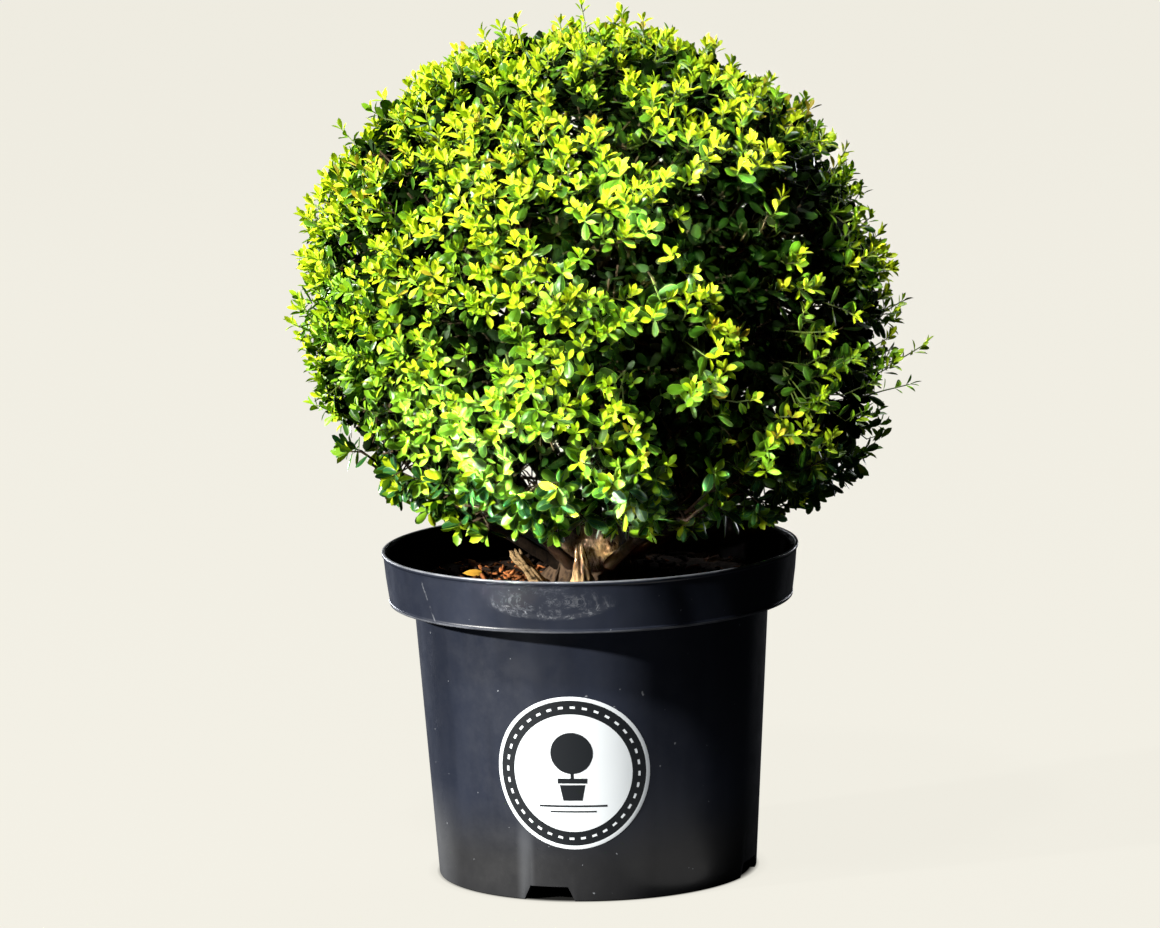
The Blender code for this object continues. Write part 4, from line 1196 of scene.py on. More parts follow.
def trunk_mesh(depth):
    """The trunk on a grid of turn and height: radius = waist + flare at its roots + swelling at its fork,
    lobed by its roots, with one knob and with bark. It closes in a low dome."""
    turns = 2 * np.pi * np.arange(TRUNK_COLUMNS) / TRUNK_COLUMNS
    share = np.linspace(0, 1, TRUNK_ROWS)[:, None]
    spread = (1 - share) ** 2.6
    swell = np.maximum(0, (share - TRUNK_WAIST) / (1 - TRUNK_WAIST)) ** 1.5
    radius = TRUNK_WAIST_RADIUS + (TRUNK_FOOT_RADIUS - TRUNK_WAIST_RADIUS) * spread
    radius = radius + (TRUNK_TOP_RADIUS - TRUNK_WAIST_RADIUS) * swell
    root = np.cos(TRUNK_ROOTS * turns + TRUNK_ROOT_TURN + 0.7 * share)
    knot = np.sin(3 * turns + 5 * share)
    radius = radius * (1 + 0.16 * (0.25 + spread) * root) * (1 + 0.05 * knot)
    knob_turn, knob_share = TRUNK_KNOB
    off = np.angle(np.exp(1j * (turns - knob_turn)))
    radius = radius + KNOB_HEIGHT * np.exp(-((off / 0.34) ** 2) - ((share - knob_share) / 0.17) ** 2)
    radius = radius + bark_relief(turns[None, :], share * TRUNK_HEIGHT / BARK_SCALE, depth, 61)
    radius = np.concatenate([radius, radius[-1:] * TRUNK_DOME[:, None]])
    rise = np.concatenate([share[:, 0] * TRUNK_HEIGHT, TRUNK_HEIGHT + TRUNK_DOME_HEIGHT * (1 - TRUNK_DOME)])
    middle = TRUNK_LEAN * (rise / TRUNK_HEIGHT)[:, None] + UP * (GROUND + rise)[:, None]
    points = (middle[:, None] + round_grid(radius, turns)).reshape(-1, 3)
    ring = np.arange(TRUNK_COLUMNS)
    caps = np.stack([ring[::-1], ring + len(points) - TRUNK_COLUMNS])
    return points, [grid_quads(len(radius), TRUNK_COLUMNS, closed=True), caps]


def main_routes():
    """The ring of main boughs and then the leader, as rows of foot, bend and tip."""
    i = np.arange(MAIN_BOUGHS)
    out = directions(MAIN_FIRST_TURN + 2 * np.pi * i / MAIN_BOUGHS, np.zeros(MAIN_BOUGHS))
    reach = (MAIN_REACH * (1 + MAIN_SWING * np.sin(2.3 * i)))[:, None]
    foot = TRUNK_LEAN + out * MAIN_RING + UP * (FORK - BOUGH_SINK)
    bend = out * reach * MAIN_BEND_REACH + UP * (FORK + MAIN_BEND_HEIGHT)
    tip = out * reach + np.array((BALL_CENTRE[0], 0, MAIN_TIP_HEIGHT))
    leader_foot = TRUNK_LEAN + UP * (FORK - BOUGH_SINK)
    leader = np.stack([leader_foot, (leader_foot + LEADER_TIP) / 2 + LEADER_SWAY, LEADER_TIP])
    return np.concatenate([np.stack([foot, bend, tip], axis=1), leader[None]])


def low_routes():
    """The low boughs, as rows of foot, bend and tip."""
    i = np.arange(LOW_BOUGHS)
    out = directions(2 * np.pi * i / LOW_BOUGHS, np.zeros(LOW_BOUGHS))
    foot = out * LOW_FOOT + UP * LOW_START
    bend = out * LOW_REACH * LOW_BEND_REACH + UP * (LOW_START + LOW_BEND_HEIGHT)
    tip = out * LOW_REACH + UP * (LOW_TIP_HEIGHT + LOW_TIP_SWING * np.sin(2.1 * i))[:, None]
    return np.stack([foot, bend, tip], axis=1)


def stub_mesh(foot, rise, radius, tip_share, splinters, seed):
    """A dead shoot: its radius falls from 1 to the tip's share with the square of the height, is fluted
    by sin 4a, and is torn into splinters at the top."""
    turns = 2 * np.pi * np.arange(STUB_COLUMNS) / STUB_COLUMNS
    share = np.linspace(0, 1, STUB_ROWS)[:, None]
    width = 1 + (tip_share - 1) * share**2 + 0.25 * np.exp(-share * 8)
    fluted = 1 + 0.14 * np.sin(4 * turns + 9 * share) + 0.10 * np.sin(11 * turns - 4 * share)
    radii = radius * width * (fluted + bark_relief(turns[None, :], share * 5, 0.08, seed))
    torn = splinters * share**3 * (np.sin(5 * turns + 1.0) + 0.6 * np.sin(9 * turns)) * 0.5
    middle = foot + rise * share
    points = middle[:, None] + round_grid(radii, turns) + UP * torn[..., None]
    points[..., 2] = np.maximum(points[..., 2], foot[2])
    total = STUB_ROWS * STUB_COLUMNS
    ring = np.arange(STUB_COLUMNS)
    last = total - STUB_COLUMNS + ring
    fan = np.stack([last, np.roll(last, -1), np.full(STUB_COLUMNS, total)], axis=1)
    points = np.concatenate([points.reshape(-1, 3), [foot + rise * 0.8]])
    return points, [grid_quads(STUB_ROWS, STUB_COLUMNS, closed=True), ring[::-1][None], fan]


# Foliage


def nearest(points, others):
    """The number of the nearest other point to each point, worked out in blocks."""
    found = np.empty(len(points), int)
    for start in range(0, len(points), 512):
        block = points[start:start + 512]
        found[start:start + 512] = np.argmin(((block[:, None] - others) ** 2).sum(-1), axis=1)
    return found


def grow_from(rng, parents, tips, first_share, spring):
    """Branches to the given tips, each from the nearest parent, at a random share of its length: it
    leaves in the parent's direction and bends to its tip."""
    chosen = nearest(tips, curve_points(parents, np.full(len(parents), 0.85)))
    at = rng.uniform(first_share, 1.0, len(tips))
    foot = curve_points(parents[chosen], at)
    reach = np.linalg.norm(tips - foot, axis=1, keepdims=True)
    bend = foot + curve_ways(parents[chosen], at) * reach * spring
    return np.stack([foot, bend, tips], axis=1)


def shell_points(rng, count, share, shake, floor):
    """Points at a share of the outline's reach in even directions, above the floor."""
    ways = even_directions(rng, count, shake)
    points = BALL_CENTRE + ways * (outline_reach(ways) * share)[:, None]
    keep = points[:, 2] > floor
    return points[keep], ways[keep]


def shoot_routes(rng, parents, tips, outward, rise=0.62):
    """Shoots to the given tips. Each turns from its parent to a last direction that leans out and up."""
    chosen = nearest(tips, curve_points(parents, np.full(len(parents), 0.8)))
    at = rng.uniform(0.45, 1.0, len(tips))
    foot = curve_points(parents[chosen], at)
    reach = np.linalg.norm(tips - foot, axis=1, keepdims=True)
    last = unit(outward * 0.62 + UP * rise + rng.normal(0, 0.28, tips.shape))
    return np.stack([foot, tips - last * reach * 0.45, tips], axis=1)


def crown_limbs(rng):
    """The boughs, stems, branches, branchlets and twigs of the crown, each grown from the ones before."""
    limbs = [main_routes()]
    for count, share, shake, floor, first_share, spring in CROWN_LIMBS:
        tips, _ = shell_points(rng, count, share, shake, floor)
        limbs.append(grow_from(rng, limbs[-1], tips, first_share, spring))
    return limbs


def hollow_at(ways, right):
    """How hollow the ball is in each direction, from 0 to 1: soft noise, and round each of the hollows
    exp(-(angle off it / span)^4) with a ragged edge. It dies out towards the top."""
    soft = np.clip(noise(ways, 0.20, 3) - 0.03 + 0.03 * right, 0, 1)
    azimuths, elevations, spans = np.array(HOLLOWS).T
    middles = directions(np.radians(azimuths), np.radians(elevations))
    off = np.arccos(np.clip(ways @ middles.T, -1, 1)) * (1 + 0.35 * noise(ways, 0.09, 27)[:, None])
    hollow = np.maximum(soft, 0.75 * np.exp(-((off / spans) ** 4)).max(axis=1))
    return hollow * (1 - 0.7 * np.clip((ways[:, 2] - 0.55) / 0.3, 0, 1))


CrownShoots = namedtuple("CrownShoots", "routes ways hollow right proud strays")


def crown_shoots(rng, count, twigs):
    """The leafy shoots, from the twigs to the clipped outline. Fewer grow in the hollows, low down and at
    the right, and some stand proud there. Ways, hollow, right and proud hold one value a shoot."""
    tips, ways = shell_points(rng, count, 1.0, 0.020, TIP_FLOOR)
    low = np.clip((0.405 - tips[:, 2]) / 0.05, 0, 1)
    open_ground = noise(tips, 0.045, 19) * 0.5 + 0.5
    right = np.clip((ways[:, 0] - 0.05) / 0.6, 0, 1) * np.clip(0.6 - ways[:, 1], 0, 1)
    hollow = hollow_at(ways, right)
    kept = (open_ground > 0.60 * low) & (rng.random(len(tips)) > 1.5 * hollow + 0.32 * right)
    ways, hollow, right = ways[kept], hollow[kept], right[kept]
    low_right = leaning_to(ways, *LOW_RIGHT)
    short = 0.005 + 0.045 * hollow + added_patches(ways, CLIPPED)
    short += rng.gamma(1.5, 0.0055, len(ways)).clip(0, 0.03)
    proud = rng.random(len(ways)) < 0.09 + 0.24 * low_right + 0.38 * right
    stand = (0.015 + 0.007 * right + 0.004 * low_right) * (1 - 0.6 * leaning_to(ways, *CALM_RIGHT))
    tips = BALL_CENTRE + ways * (outline_reach(ways) - short + stand * proud)[:, None]
    routes = shoot_routes(rng, twigs, tips, ways)
    azimuths, elevations, stands = np.array(STRAY_SHOOTS).T
    strays = directions(np.radians(azimuths), np.radians(elevations))
    stray_tips = BALL_CENTRE + strays * (outline_reach(strays) + stands - 0.010)[:, None]
    return CrownShoots(routes, ways, hollow, right, proud, shoot_routes(rng, twigs, stray_tips, strays))


def hem_stems():
    """One stem a low bough, on from its tip, as rows of foot, bend and tip, with its first direction."""
    lows = low_routes()
    foot = lows[:, 2]
    ahead = curve_ways(lows, np.ones(LOW_BOUGHS))
    level = directions(np.arctan2(ahead[:, 1], ahead[:, 0]), np.zeros(LOW_BOUGHS))
    end = foot + level * HEM_STEM_LENGTH + UP * HEM_STEM_RISE
    return np.stack([foot, foot + ahead * HEM_STEM_LENGTH / 3, end], axis=1), ahead


def hem_twigs(rng, stems, ahead):
    """Twigs that fan out from each stem to its left and right in turn, kept inside the outline."""
    spray = np.repeat(np.arange(LOW_BOUGHS), HEM_TWIGS)
    k = np.tile(np.arange(HEM_TWIGS), LOW_BOUGHS)
    at = np.linspace(0.1, 0.98, HEM_TWIGS)[k]
    side = (-1.0) ** k * np.radians(rng.uniform(40, 80, len(k)) * (1.2 - 0.85 * at))
    rise = np.radians(np.array(HEM_TWIG_RISES)[k % len(HEM_TWIG_RISES)] + rng.uniform(-8, 8, len(k)))
    turns = np.arctan2(ahead[:, 1], ahead[:, 0])
    ways = directions(turns[spray] + side, rise)
    starts = curve_points(stems[spray], at)
    tips = starts + ways * (HEM_TWIG_LENGTH * rng.uniform(0.7, 1.15, len(k)))[:, None]
    tips -= unit(tips - BALL_CENTRE) * np.maximum(0, HEM_MARGIN - depth_inside(tips))[:, None]
    tips[:, 2] = np.clip(tips[:, 2], HEM + HEM_MARGIN, CROWN_FLOOR)
    return np.stack([starts, (starts + tips) / 2 + ahead[spray] * 0.004, tips], axis=1)


def hem_points(rng, count, shallow, deep, low_edge):
    """Points between two depths inside the hem's outline, a little above its lobed lower edge, with
    their directions."""
    ways = even_directions(rng, count, 0.03)
    depth = rng.uniform(shallow, deep, count) + 0.006 * leaning_to(ways, *LOW_LEFT)
    points = BALL_CENTRE + ways * (outline_reach(ways) - depth)[:, None]
    level = np.hypot(points[:, 0], points[:, 1])
    ring = points * (1, 1, 0) / level[:, None]
    edge = HEM + low_edge + 0.009 * (1 + noise(ring, 0.22, 13))
    keep = (points[:, 2] > edge) & (points[:, 2] < CROWN_FLOOR + 0.012) & (level > 0.07)
    return points[keep], ways[keep]


def hem_shoots(rng, twigs):
    """The hem's outer shoots, in clumps that are closer in front and at both low corners, with the low
    sprigs, and its inner shoots."""
    tips, ways = hem_points(rng, 2200, 0.004, 0.026, -0.002)
    in_front = np.exp(-(((np.arctan2(tips[:, 1], tips[:, 0]) + np.pi / 2) / 0.8) ** 2))
    keep = noise(tips, 0.040, 9) < -0.06 + 0.14 * in_front + added_patches(ways, HEM_CORNERS)
    tips = np.concatenate([tips[keep], LOW_SPRIGS])
    ways = np.concatenate([ways[keep], unit(LOW_SPRIGS * (1, 1, 0))])
    hang = rng.normal(-0.10, 0.35, len(tips))
    outer = shoot_routes(rng, twigs, tips, ways * (1, 1, 0.4) + UP * hang[:, None], rise=0.0)
    tips, ways = hem_points(rng, 1900, 0.030, 0.075, 0.000)
    return outer, shoot_routes(rng, twigs, tips, ways * (1, 1, 0.4), rise=0.0)


def leaf_shape(shares, widths, columns, cup, fold):
    """One leaf on a grid of t along it and u across it: (u width(t) / 2, t, (cup u^2 + fold |u|) width(t)),
    with its root and its tip drawn to points. A column that comes twice leaves a crease. Returns its
    points, triangles, quads and the strip of each face."""
    u = np.asarray(columns)
    t, width = np.asarray(shares)[:, None], np.asarray(widths)[:, None]
    bent = (cup * u**2 + fold * np.abs(u)) * width
    grid = np.stack(np.broadcast_arrays(u * width / 2, t, bent), axis=-1)
    rows, count = grid.shape[:2]
    points = np.concatenate([[(0, 0, 0)], grid.reshape(-1, 3), [(0, 1, 0)]])
    j = np.flatnonzero(np.diff(u) > 0)
    strip = np.arange(len(j))
    last = 1 + (rows - 1) * count
    root = np.stack([np.zeros(len(j), int), 2 + j, 1 + j], axis=1)
    tip = np.stack([last + j, last + j + 1, np.full(len(j), last + count)], axis=1)
    quads = grid_quads(rows, count).reshape(rows - 1, count - 1, 4)[:, j].reshape(-1, 4) + 1
    strips = np.concatenate([strip, strip, np.tile(strip, rows - 1)])
    return points, np.concatenate([root, tip]), quads, strips


GROWN_STATIONS = ((0.2, 0.46, 0.74, 0.92), (0.55, 0.93, 0.98, 0.60))
HEM_LEAF = leaf_shape(*GROWN_STATIONS, (-1, -0.88, -0.05, 0.05, 0.88, 1), -0.24, 0.14)
HEM_PALE_STRIPS = [0, 2, 4]
GROWN_LEAF = leaf_shape(*GROWN_STATIONS, (-1, -0.88, 0, 0, 0.88, 1), -0.26, 0.14)
GROWN_PALE_STRIPS = [0, 3]
INNER_LEAF = leaf_shape((0.24, 0.56, 0.87), (0.6, 1.0, 0.75), (-1, 0, 1), -0.14, 0.0)
YOUNG_LEAF = leaf_shape((0.26, 0.56, 0.83), (0.52, 1.0, 0.76), (-1, 0, 1), 0.20, 0.0)


def spread_leaves(shape, leaves, strip_finishes):
    """Copies of one leaf shape: base + across x width + along y length + face (z - curl y^2) length.
    strip_finishes gives the finish of each strip of each leaf, as leaves by strips."""
    points, tris, quads, strips = shape
    base, along, face = leaves["base"], unit(leaves["along"]), leaves["face"]
    across = unit(np.cross(along, face))
    face = np.cross(across, along)
    length = leaves["length"][:, None, None]
    width = leaves["width"][:, None, None]
    x, y, z = (points[None, :, axis, None] for axis in range(3))
    bent = z * width - leaves["curl"][:, None, None] * y**2 * length
    placed = base[:, None] + across[:, None] * x * width + along[:, None] * y * length + face[:, None] * bent
    count = len(base)
    starts = (np.arange(count) * len(points))[:, None, None]
    faces = [(tris + starts).reshape(-1, 3), (quads + starts).reshape(-1, 4)]
    tri_strips, quad_strips = strips[:len(tris)], strips[len(tris):]
    finishes = np.concatenate([strip_finishes[:, tri_strips].ravel(), strip_finishes[:, quad_strips].ravel()])
    return placed.reshape(-1, 3), faces, finishes


def leaves_on(rng, routes, rows, length, slim, curls, skyward, lift=0.16):
    """Leaves in a golden spiral round each shoot. Along = ahead cos splay + around sin splay, lifted a
    little; its upper side faces the shoot's tip, and the sky by the skyward share. Rows hold the limits of
    share, splay and length for each leaf in turn from the foot."""
    first_share, last_share, *splays, least, longest = np.array(rows, float).T
    count, each = len(routes), len(rows)
    shape = (count, each)
    spin = rng.uniform(0, 2 * np.pi, count)
    at = between(rng, first_share, last_share, shape)
    splay = between(rng, *np.radians(splays), shape)
    base = curve_points(routes[:, None], at)
    ahead = curve_ways(routes[:, None], at)
    side = unit(np.cross(ahead, rng.normal(0, 1, (count, 1, 3)) + (0.3, 0.2, 0.1)))
    across = np.cross(ahead, side)
    angle = (spin[:, None] + np.arange(each) * GOLDEN_ANGLE)[..., None]
    around = side * np.cos(angle) + across * np.sin(angle)
    along = ahead * np.cos(splay)[..., None] + around * np.sin(splay)[..., None] + UP * lift
    face = ahead + UP * skyward + rng.normal(0, 0.22, base.shape)
    size = between(rng, least * length, longest * length, shape)
    return {
        "base": base.reshape(-1, 3),
        "along": along.reshape(-1, 3),
        "face": face.reshape(-1, 3),
        "length": size.ravel(),
        "width": (size * rng.uniform(*slim, shape)).ravel(),
        "curl": rng.uniform(*curls, count * each),
        "shoot": np.repeat(np.arange(count), each),
    }


def chosen_leaves(leaves, keep):
    """Some of the leaves."""
    return {key: values[keep] for key, values in leaves.items()}


def joined_leaves(groups):
    """Several groups of leaves as one."""
    return {key: np.concatenate([group[key] for group in groups]) for key in groups[0]}


def in_sky_window(points):
    """Whether points hide one of the openings: (dx / half width)^2 + (dv / half height)^2 < 1, where
    v = z cos drop + y sin drop."""
    x = points[:, 0]
    v = points[:, 2] * math.cos(VIEW_DROP) + points[:, 1] * math.sin(VIEW_DROP)
    found = np.zeros(len(points), bool)
    for middle_x, middle_v, half_x, half_v in SKY_WINDOWS:
        found |= ((x - middle_x) / half_x) ** 2 + ((v - middle_v) / half_v) ** 2 < 1
    return found


def kept_in_space(leaves, low, allowance):
    """The leaves whose tips stay above a height and inside the outline plus an allowance, and that leave
    the openings free."""
    reach = unit(leaves["along"]) * leaves["length"][:, None]
    tips = leaves["base"] + reach
    fits = (tips[:, 2] > low) & (np.abs(tips[:, 1]) < SIDE_LIMIT) & (depth_inside(tips) > -allowance)
    for share in (0.25, 0.6, 0.95):
        fits &= ~in_sky_window(leaves["base"] + reach * share)
    return chosen_leaves(leaves, fits)


def make_leaf_pieces(name, leaves, shape, finishes, replaces, pale_strips=()):
    """Leaves of one kind, in as few pieces as the limit of triangles allows, split by their turn round the
    ball. The pale strips take the last finish: a paler edge that is partly the leaf's own margin and partly a
    painted highlight."""
    order = np.argsort(np.arctan2(leaves["base"][:, 1], leaves["base"][:, 0]), kind="stable")
    leaves = chosen_leaves(leaves, order)
    triangles = len(shape[1]) + 2 * len(shape[2])
    parts = math.ceil(len(order) * triangles / MOST_TRIANGLES)
    ends = np.linspace(0, len(order), parts + 1).astype(int)
    for i in range(parts):
        part = chosen_leaves(leaves, slice(ends[i], ends[i + 1]))
        tints = np.repeat(part["tint"][:, None], shape[3].max() + 1, axis=1)
        tints[:, list(pale_strips)] = len(finishes) - 1
        points, faces, numbers = spread_leaves(shape, part, tints)
        label = f"{name}_{i + 1}" if parts > 1 else name
        new_piece(label, points, faces, finishes, "foliage", numbers, replaces)


def crown_grown_leaves(rng, shoots, length):
    """Grown leaves on the lower half of each shoot, in painted light and shade: mid green where the shoot
    faces up and to the left, deep green where it faces down and to the right, with noise.
    """
    ways = shoots.ways
    leaves = leaves_on(rng, shoots.routes, CROWN_GROWN_ROWS, length, (0.42, 0.54), (0.05, 0.24), 0.40)
    # Painted light and shade: higher for shoots facing up and to the left, lower facing down and to the
    # right.
    light = noise(ways, 0.30, 14) * 0.5 + ways[:, 2] * 0.2 - ways[:, 0] * 0.2
    light += rng.normal(0, 0.35, len(ways))
    tint = light[leaves["shoot"]] + rng.normal(0, 0.3, len(leaves["shoot"])) > 0.0
    return kept_in_space({**leaves, "tint": tint.astype(int)}, CROWN_FLOOR, 0.006)


def crown_inner_leaves(rng, limbs, length):
    """Shaded leaves on the limbs inside the ball, which close it to the eye."""
    boughs, stems, branches, branchlets, twigs = limbs
    right_or_top = (twigs[:, 2, 0] > 0.07) | (twigs[:, 2, 2] > 0.62)
    carriers = {
        "boughs": boughs,
        "stems": stems,
        "branches": branches,
        "branchlets": branchlets,
        "twigs": twigs,
        "lowest limbs": np.concatenate([limb[limb[:, 2, 2] < 0.44] for limb in (branches, branchlets)]),
        "right and top twigs": twigs[right_or_top],
    }
    leaves = joined_leaves([
        leaves_on(rng, carriers[name], CROWN_INNER_ROWS[-each:], size * length,
                  (0.42, 0.54), (0.0, 0.15), 0.5)
        for name, each, size in INNER_SETS
    ])
    leaves["tint"] = (rng.random(len(leaves["shoot"])) < 0.2).astype(int)
    return kept_in_space(leaves, CROWN_FLOOR, 0.0)


def crown_young_leaves(rng, shoots, length):
    """Young leaves towards the tips of the shoots that grow: fresh green where they are weak, then lime
    and yellow, and bronze in warm patches near the top. Their vigour also holds painted light and shade:
    it is raised towards the top and lowered in the hollows, to the right and at the low left."""
    ways, right, strays = shoots.ways, shoots.right, shoots.strays
    # Painted light and shade in the vigour: higher towards the top, lower in the hollows, to the right and at
    # the low left.
    vigour_and_light = noise(ways, 0.34, 21) * 0.5 + rng.normal(0, 0.35, len(ways)) - 0.8 * shoots.hollow
    vigour_and_light += 0.50 * ways[:, 2] - 0.14 * ways[:, 0] - 0.95 * leaning_to(ways, *DARK_LOW_LEFT) + 0.16
    growing = (vigour_and_light > -0.85) & (shoots.proud | (rng.random(len(ways)) > 0.3 * right))
    routes = np.concatenate([shoots.routes[growing], strays])
    vigour_and_light = np.concatenate([vigour_and_light[growing], np.full(len(strays), 0.2)])
    leaves = leaves_on(rng, routes, CROWN_YOUNG_ROWS, length, (0.35, 0.48), (-0.05, 0.26), 0.14)
    count = len(leaves["shoot"])
    age = np.tile(np.linspace(-0.22, 0.22, len(CROWN_YOUNG_ROWS)), len(routes))
    tint = np.digitize(vigour_and_light[leaves["shoot"]] + age + rng.normal(0, 0.24, count), (-0.22, 0.34))
    outward = unit(leaves["base"] - BALL_CENTRE)
    warm = noise(outward, 0.4, 33) + 0.45 * outward[:, 2] + rng.normal(0, 0.25, count)
    tint = np.where((warm > 0.72) & (tint == 2), 3, tint)
    return kept_in_space({**leaves, "tint": tint}, CROWN_FLOOR, 0.040)


# The stage


def make_floor(scene, colour):
    """The plain floor: it glows evenly by itself, but for a painted contact shadow: black under the pot and a
    dark line round its foot.
    """
    mesh = bpy.data.meshes.new("floor")
    corners = [(x * FLOOR_HALF, y * FLOOR_HALF, 0) for x, y in ((-1, -1), (1, -1), (1, 1), (-1, 1))]
    mesh.from_pydata(corners, [], [(0, 1, 2, 3)])
    floor = bpy.data.objects.new("floor", mesh)
    scene.collection.objects.link(floor)
    finish, tree, shader = plain_finish("floor_paint", (0.015, 0.015, 0.015), 0.9, 0.0)
    away = distance_from(tree, (0, 0, 0))
    # Painted contact shadow: the glow falls to black under the pot and to a dark line round its foot.
    painted_contact_shadow = ramp(tree, away, ((0.131, BLACK), (0.1355, (0.92, 0.92, 0.92)), (0.145, WHITE)))
    tree.links.new(blend_colours(tree, painted_contact_shadow, BLACK, colour), shader.inputs["Emission Color"])
    shader.inputs["Emission Strength"].default_value = 0.975
    mesh.materials.append(finish)
    floor.visible_diffuse = False
    floor.visible_glossy = False


def soft_light(scene, name, place, aim, size, power, colour, spread):
    """A round soft light at a place, turned to its aim."""
    lamp = bpy.data.lights.new(name, "AREA")
    lamp.shape = "DISK"
    lamp.size = size
    lamp.energy = power
    lamp.color = colour
    lamp.spread = math.radians(spread)
    light = bpy.data.objects.new(name, lamp)
    light.location = place
    light.rotation_euler = (Vector(aim) - Vector(place)).to_track_quat("-Z", "Y").to_euler()
    light.visible_camera = False
    scene.collection.objects.link(light)


def make_camera(scene):
    """The camera at the photograph's angle."""
    camera = bpy.data.objects.new("camera", bpy.data.cameras.new("camera"))
    scene.collection.objects.link(camera)
    camera.data.sensor_width = CAMERA_SENSOR
    camera.data.lens = CAMERA_LENS
    camera.location = CAMERA_PLACE
    camera.rotation_euler = (CAMERA_AIM - CAMERA_PLACE).to_track_quat("-Z", "Y").to_euler()
    camera.rotation_euler.rotate_axis("Z", CAMERA_ROLL)
    scene.camera = camera


# The settings that a user may change


def colour_setting(name, description, default):
    """A colour."""
    return FloatVectorProperty(name=name, description=description, default=default,
                               size=3, min=0, max=1, subtype="COLOR")


def length_setting(name, description, default, least, greatest):
    """A length in metres."""
    return FloatProperty(name=name, description=description, default=default,
                         min=least, max=greatest, unit="LENGTH")


class PotSettings(bpy.types.PropertyGroup):
    """The pot and its label"""

    colour: colour_setting("Plastic", "Colour of the pot's plastic", (0.0090, 0.0115, 0.0200))
    label_diameter: length_setting("Label diameter", "Diameter of the label on the pot", 0.130, 0.05, 0.15)
    label_white: colour_setting("Label film", "Colour of the label's film", (0.72, 0.77, 0.82))
    label_ink: colour_setting("Label ink", "Colour of the label's dark ring and print", (0.012, 0.014, 0.017))


class SoilSettings(bpy.types.PropertyGroup):
    """The soil and its bark chips"""

    colour: colour_setting("Peat", "Colour of the moist peat", (0.008, 0.005, 0.0035))
    chip_colour: colour_setting("Chip colour", "Colour of the freshest bark chips", (0.40, 0.14, 0.045))
    roughness: length_setting("Unevenness", "How high the crumbs of the soil stand", 0.0045, 0.0, 0.01)
    chips: IntProperty(
        name="Bark chips",
        description="Number of bark chips on the soil",
        default=950,
        min=0,
        max=4000,
    )


class WoodSettings(bpy.types.PropertyGroup):
    """The trunk, the boughs and the stubs"""

    bark_dark: colour_setting("Dark bark", "Colour in the creases of the bark", (0.012, 0.008, 0.006))
    bark_light: colour_setting("Light bark", "Colour on the ridges of the bark", (0.085, 0.054, 0.032))
    bare_wood: colour_setting("Bare wood", "Colour of broken and cut wood", (0.60, 0.40, 0.20))
    relief: length_setting("Bark relief", "How far the trunk's bark stands out", 0.0016, 0.0, 0.004)


class FoliageSettings(bpy.types.PropertyGroup):
    """The shoots and the leaves"""

    shoots: IntProperty(
        name="Shoots",
        description="Number of leafy shoots over the whole ball",
        default=3600,
        min=500,
        max=6000,
    )
    grown_length: length_setting("Grown leaf", "Length of a grown leaf", 0.0185, 0.01, 0.04)
    young_length: length_setting("Young leaf", "Length of a young leaf", 0.0117, 0.005, 0.03)
    # Deep green also tints the crown's grown leaves on the side away from the light and, darkened, its inner
    # leaves: painted shade.
    deep_green: colour_setting("Deep green", "Colour of the oldest leaves", (0.022, 0.078, 0.004))
    mid_green: colour_setting("Mid green", "Colour of grown leaves", (0.052, 0.145, 0.005))
    blue_green: colour_setting("Blue green", "Colour of the shaded leaves of the hem", (0.015, 0.092, 0.022))
    # The leaf margin colour is partly the leaf's own pale edge and partly a painted highlight where the
    # curled edge catches light.
    margin: colour_setting("Leaf margin", "Colour of a grown leaf's pale edge", (0.11, 0.23, 0.014))
    fresh_green: colour_setting(
        "Fresh green", "Colour of young leaves that have begun to darken", (0.17, 0.36, 0.012)
    )
    lime: colour_setting("Lime", "Colour of young leaves", (0.32, 0.50, 0.010))
    yellow: colour_setting("Yellow", "Colour of the newest leaves", (0.47, 0.60, 0.012))
    bronze: colour_setting("Bronze", "Colour of newly opened tips", (0.44, 0.36, 0.02))


class StageSettings(bpy.types.PropertyGroup):
    """The floor and the light"""

    floor: colour_setting("Floor", "Colour of the plain floor", (0.8796, 0.8550, 0.7682))
    key: FloatProperty(
        name="Key light",
        description="Power of the soft light at the upper left",
        default=950,
        min=0,
        unit="POWER",
    )
    ambient: FloatProperty(
        name="Ambient light",
        description="Strength of the light from all round",
        default=0.005,
        min=0,
        max=2,
    )


class HollyBallSettings(bpy.types.PropertyGroup):
    """All settings of the potted holly ball."""

    pot: PointerProperty(type=PotSettings)
    soil: PointerProperty(type=SoilSettings)
    wood: PointerProperty(type=WoodSettings)
    foliage: PointerProperty(type=FoliageSettings)
    stage: PointerProperty(type=StageSettings)


# One operator for each piece or group of like pieces


class HOLLYBALL_OT_make_pot(bpy.types.Operator):
    """Builds the nursery pot with its collar, rim, foot ring and drain notches"""

    bl_idname = "hollyball.make_pot"
    bl_label = "Pot"

    def execute(self, context):
        finish = pot_finish(tuple(context.scene.holly_ball.pot.colour))
        pot = new_piece("nursery_pot", *pot_mesh(), [finish], "pot", replaces=["pot"])
        sharpen(pot, 30)
        return {"FINISHED"}


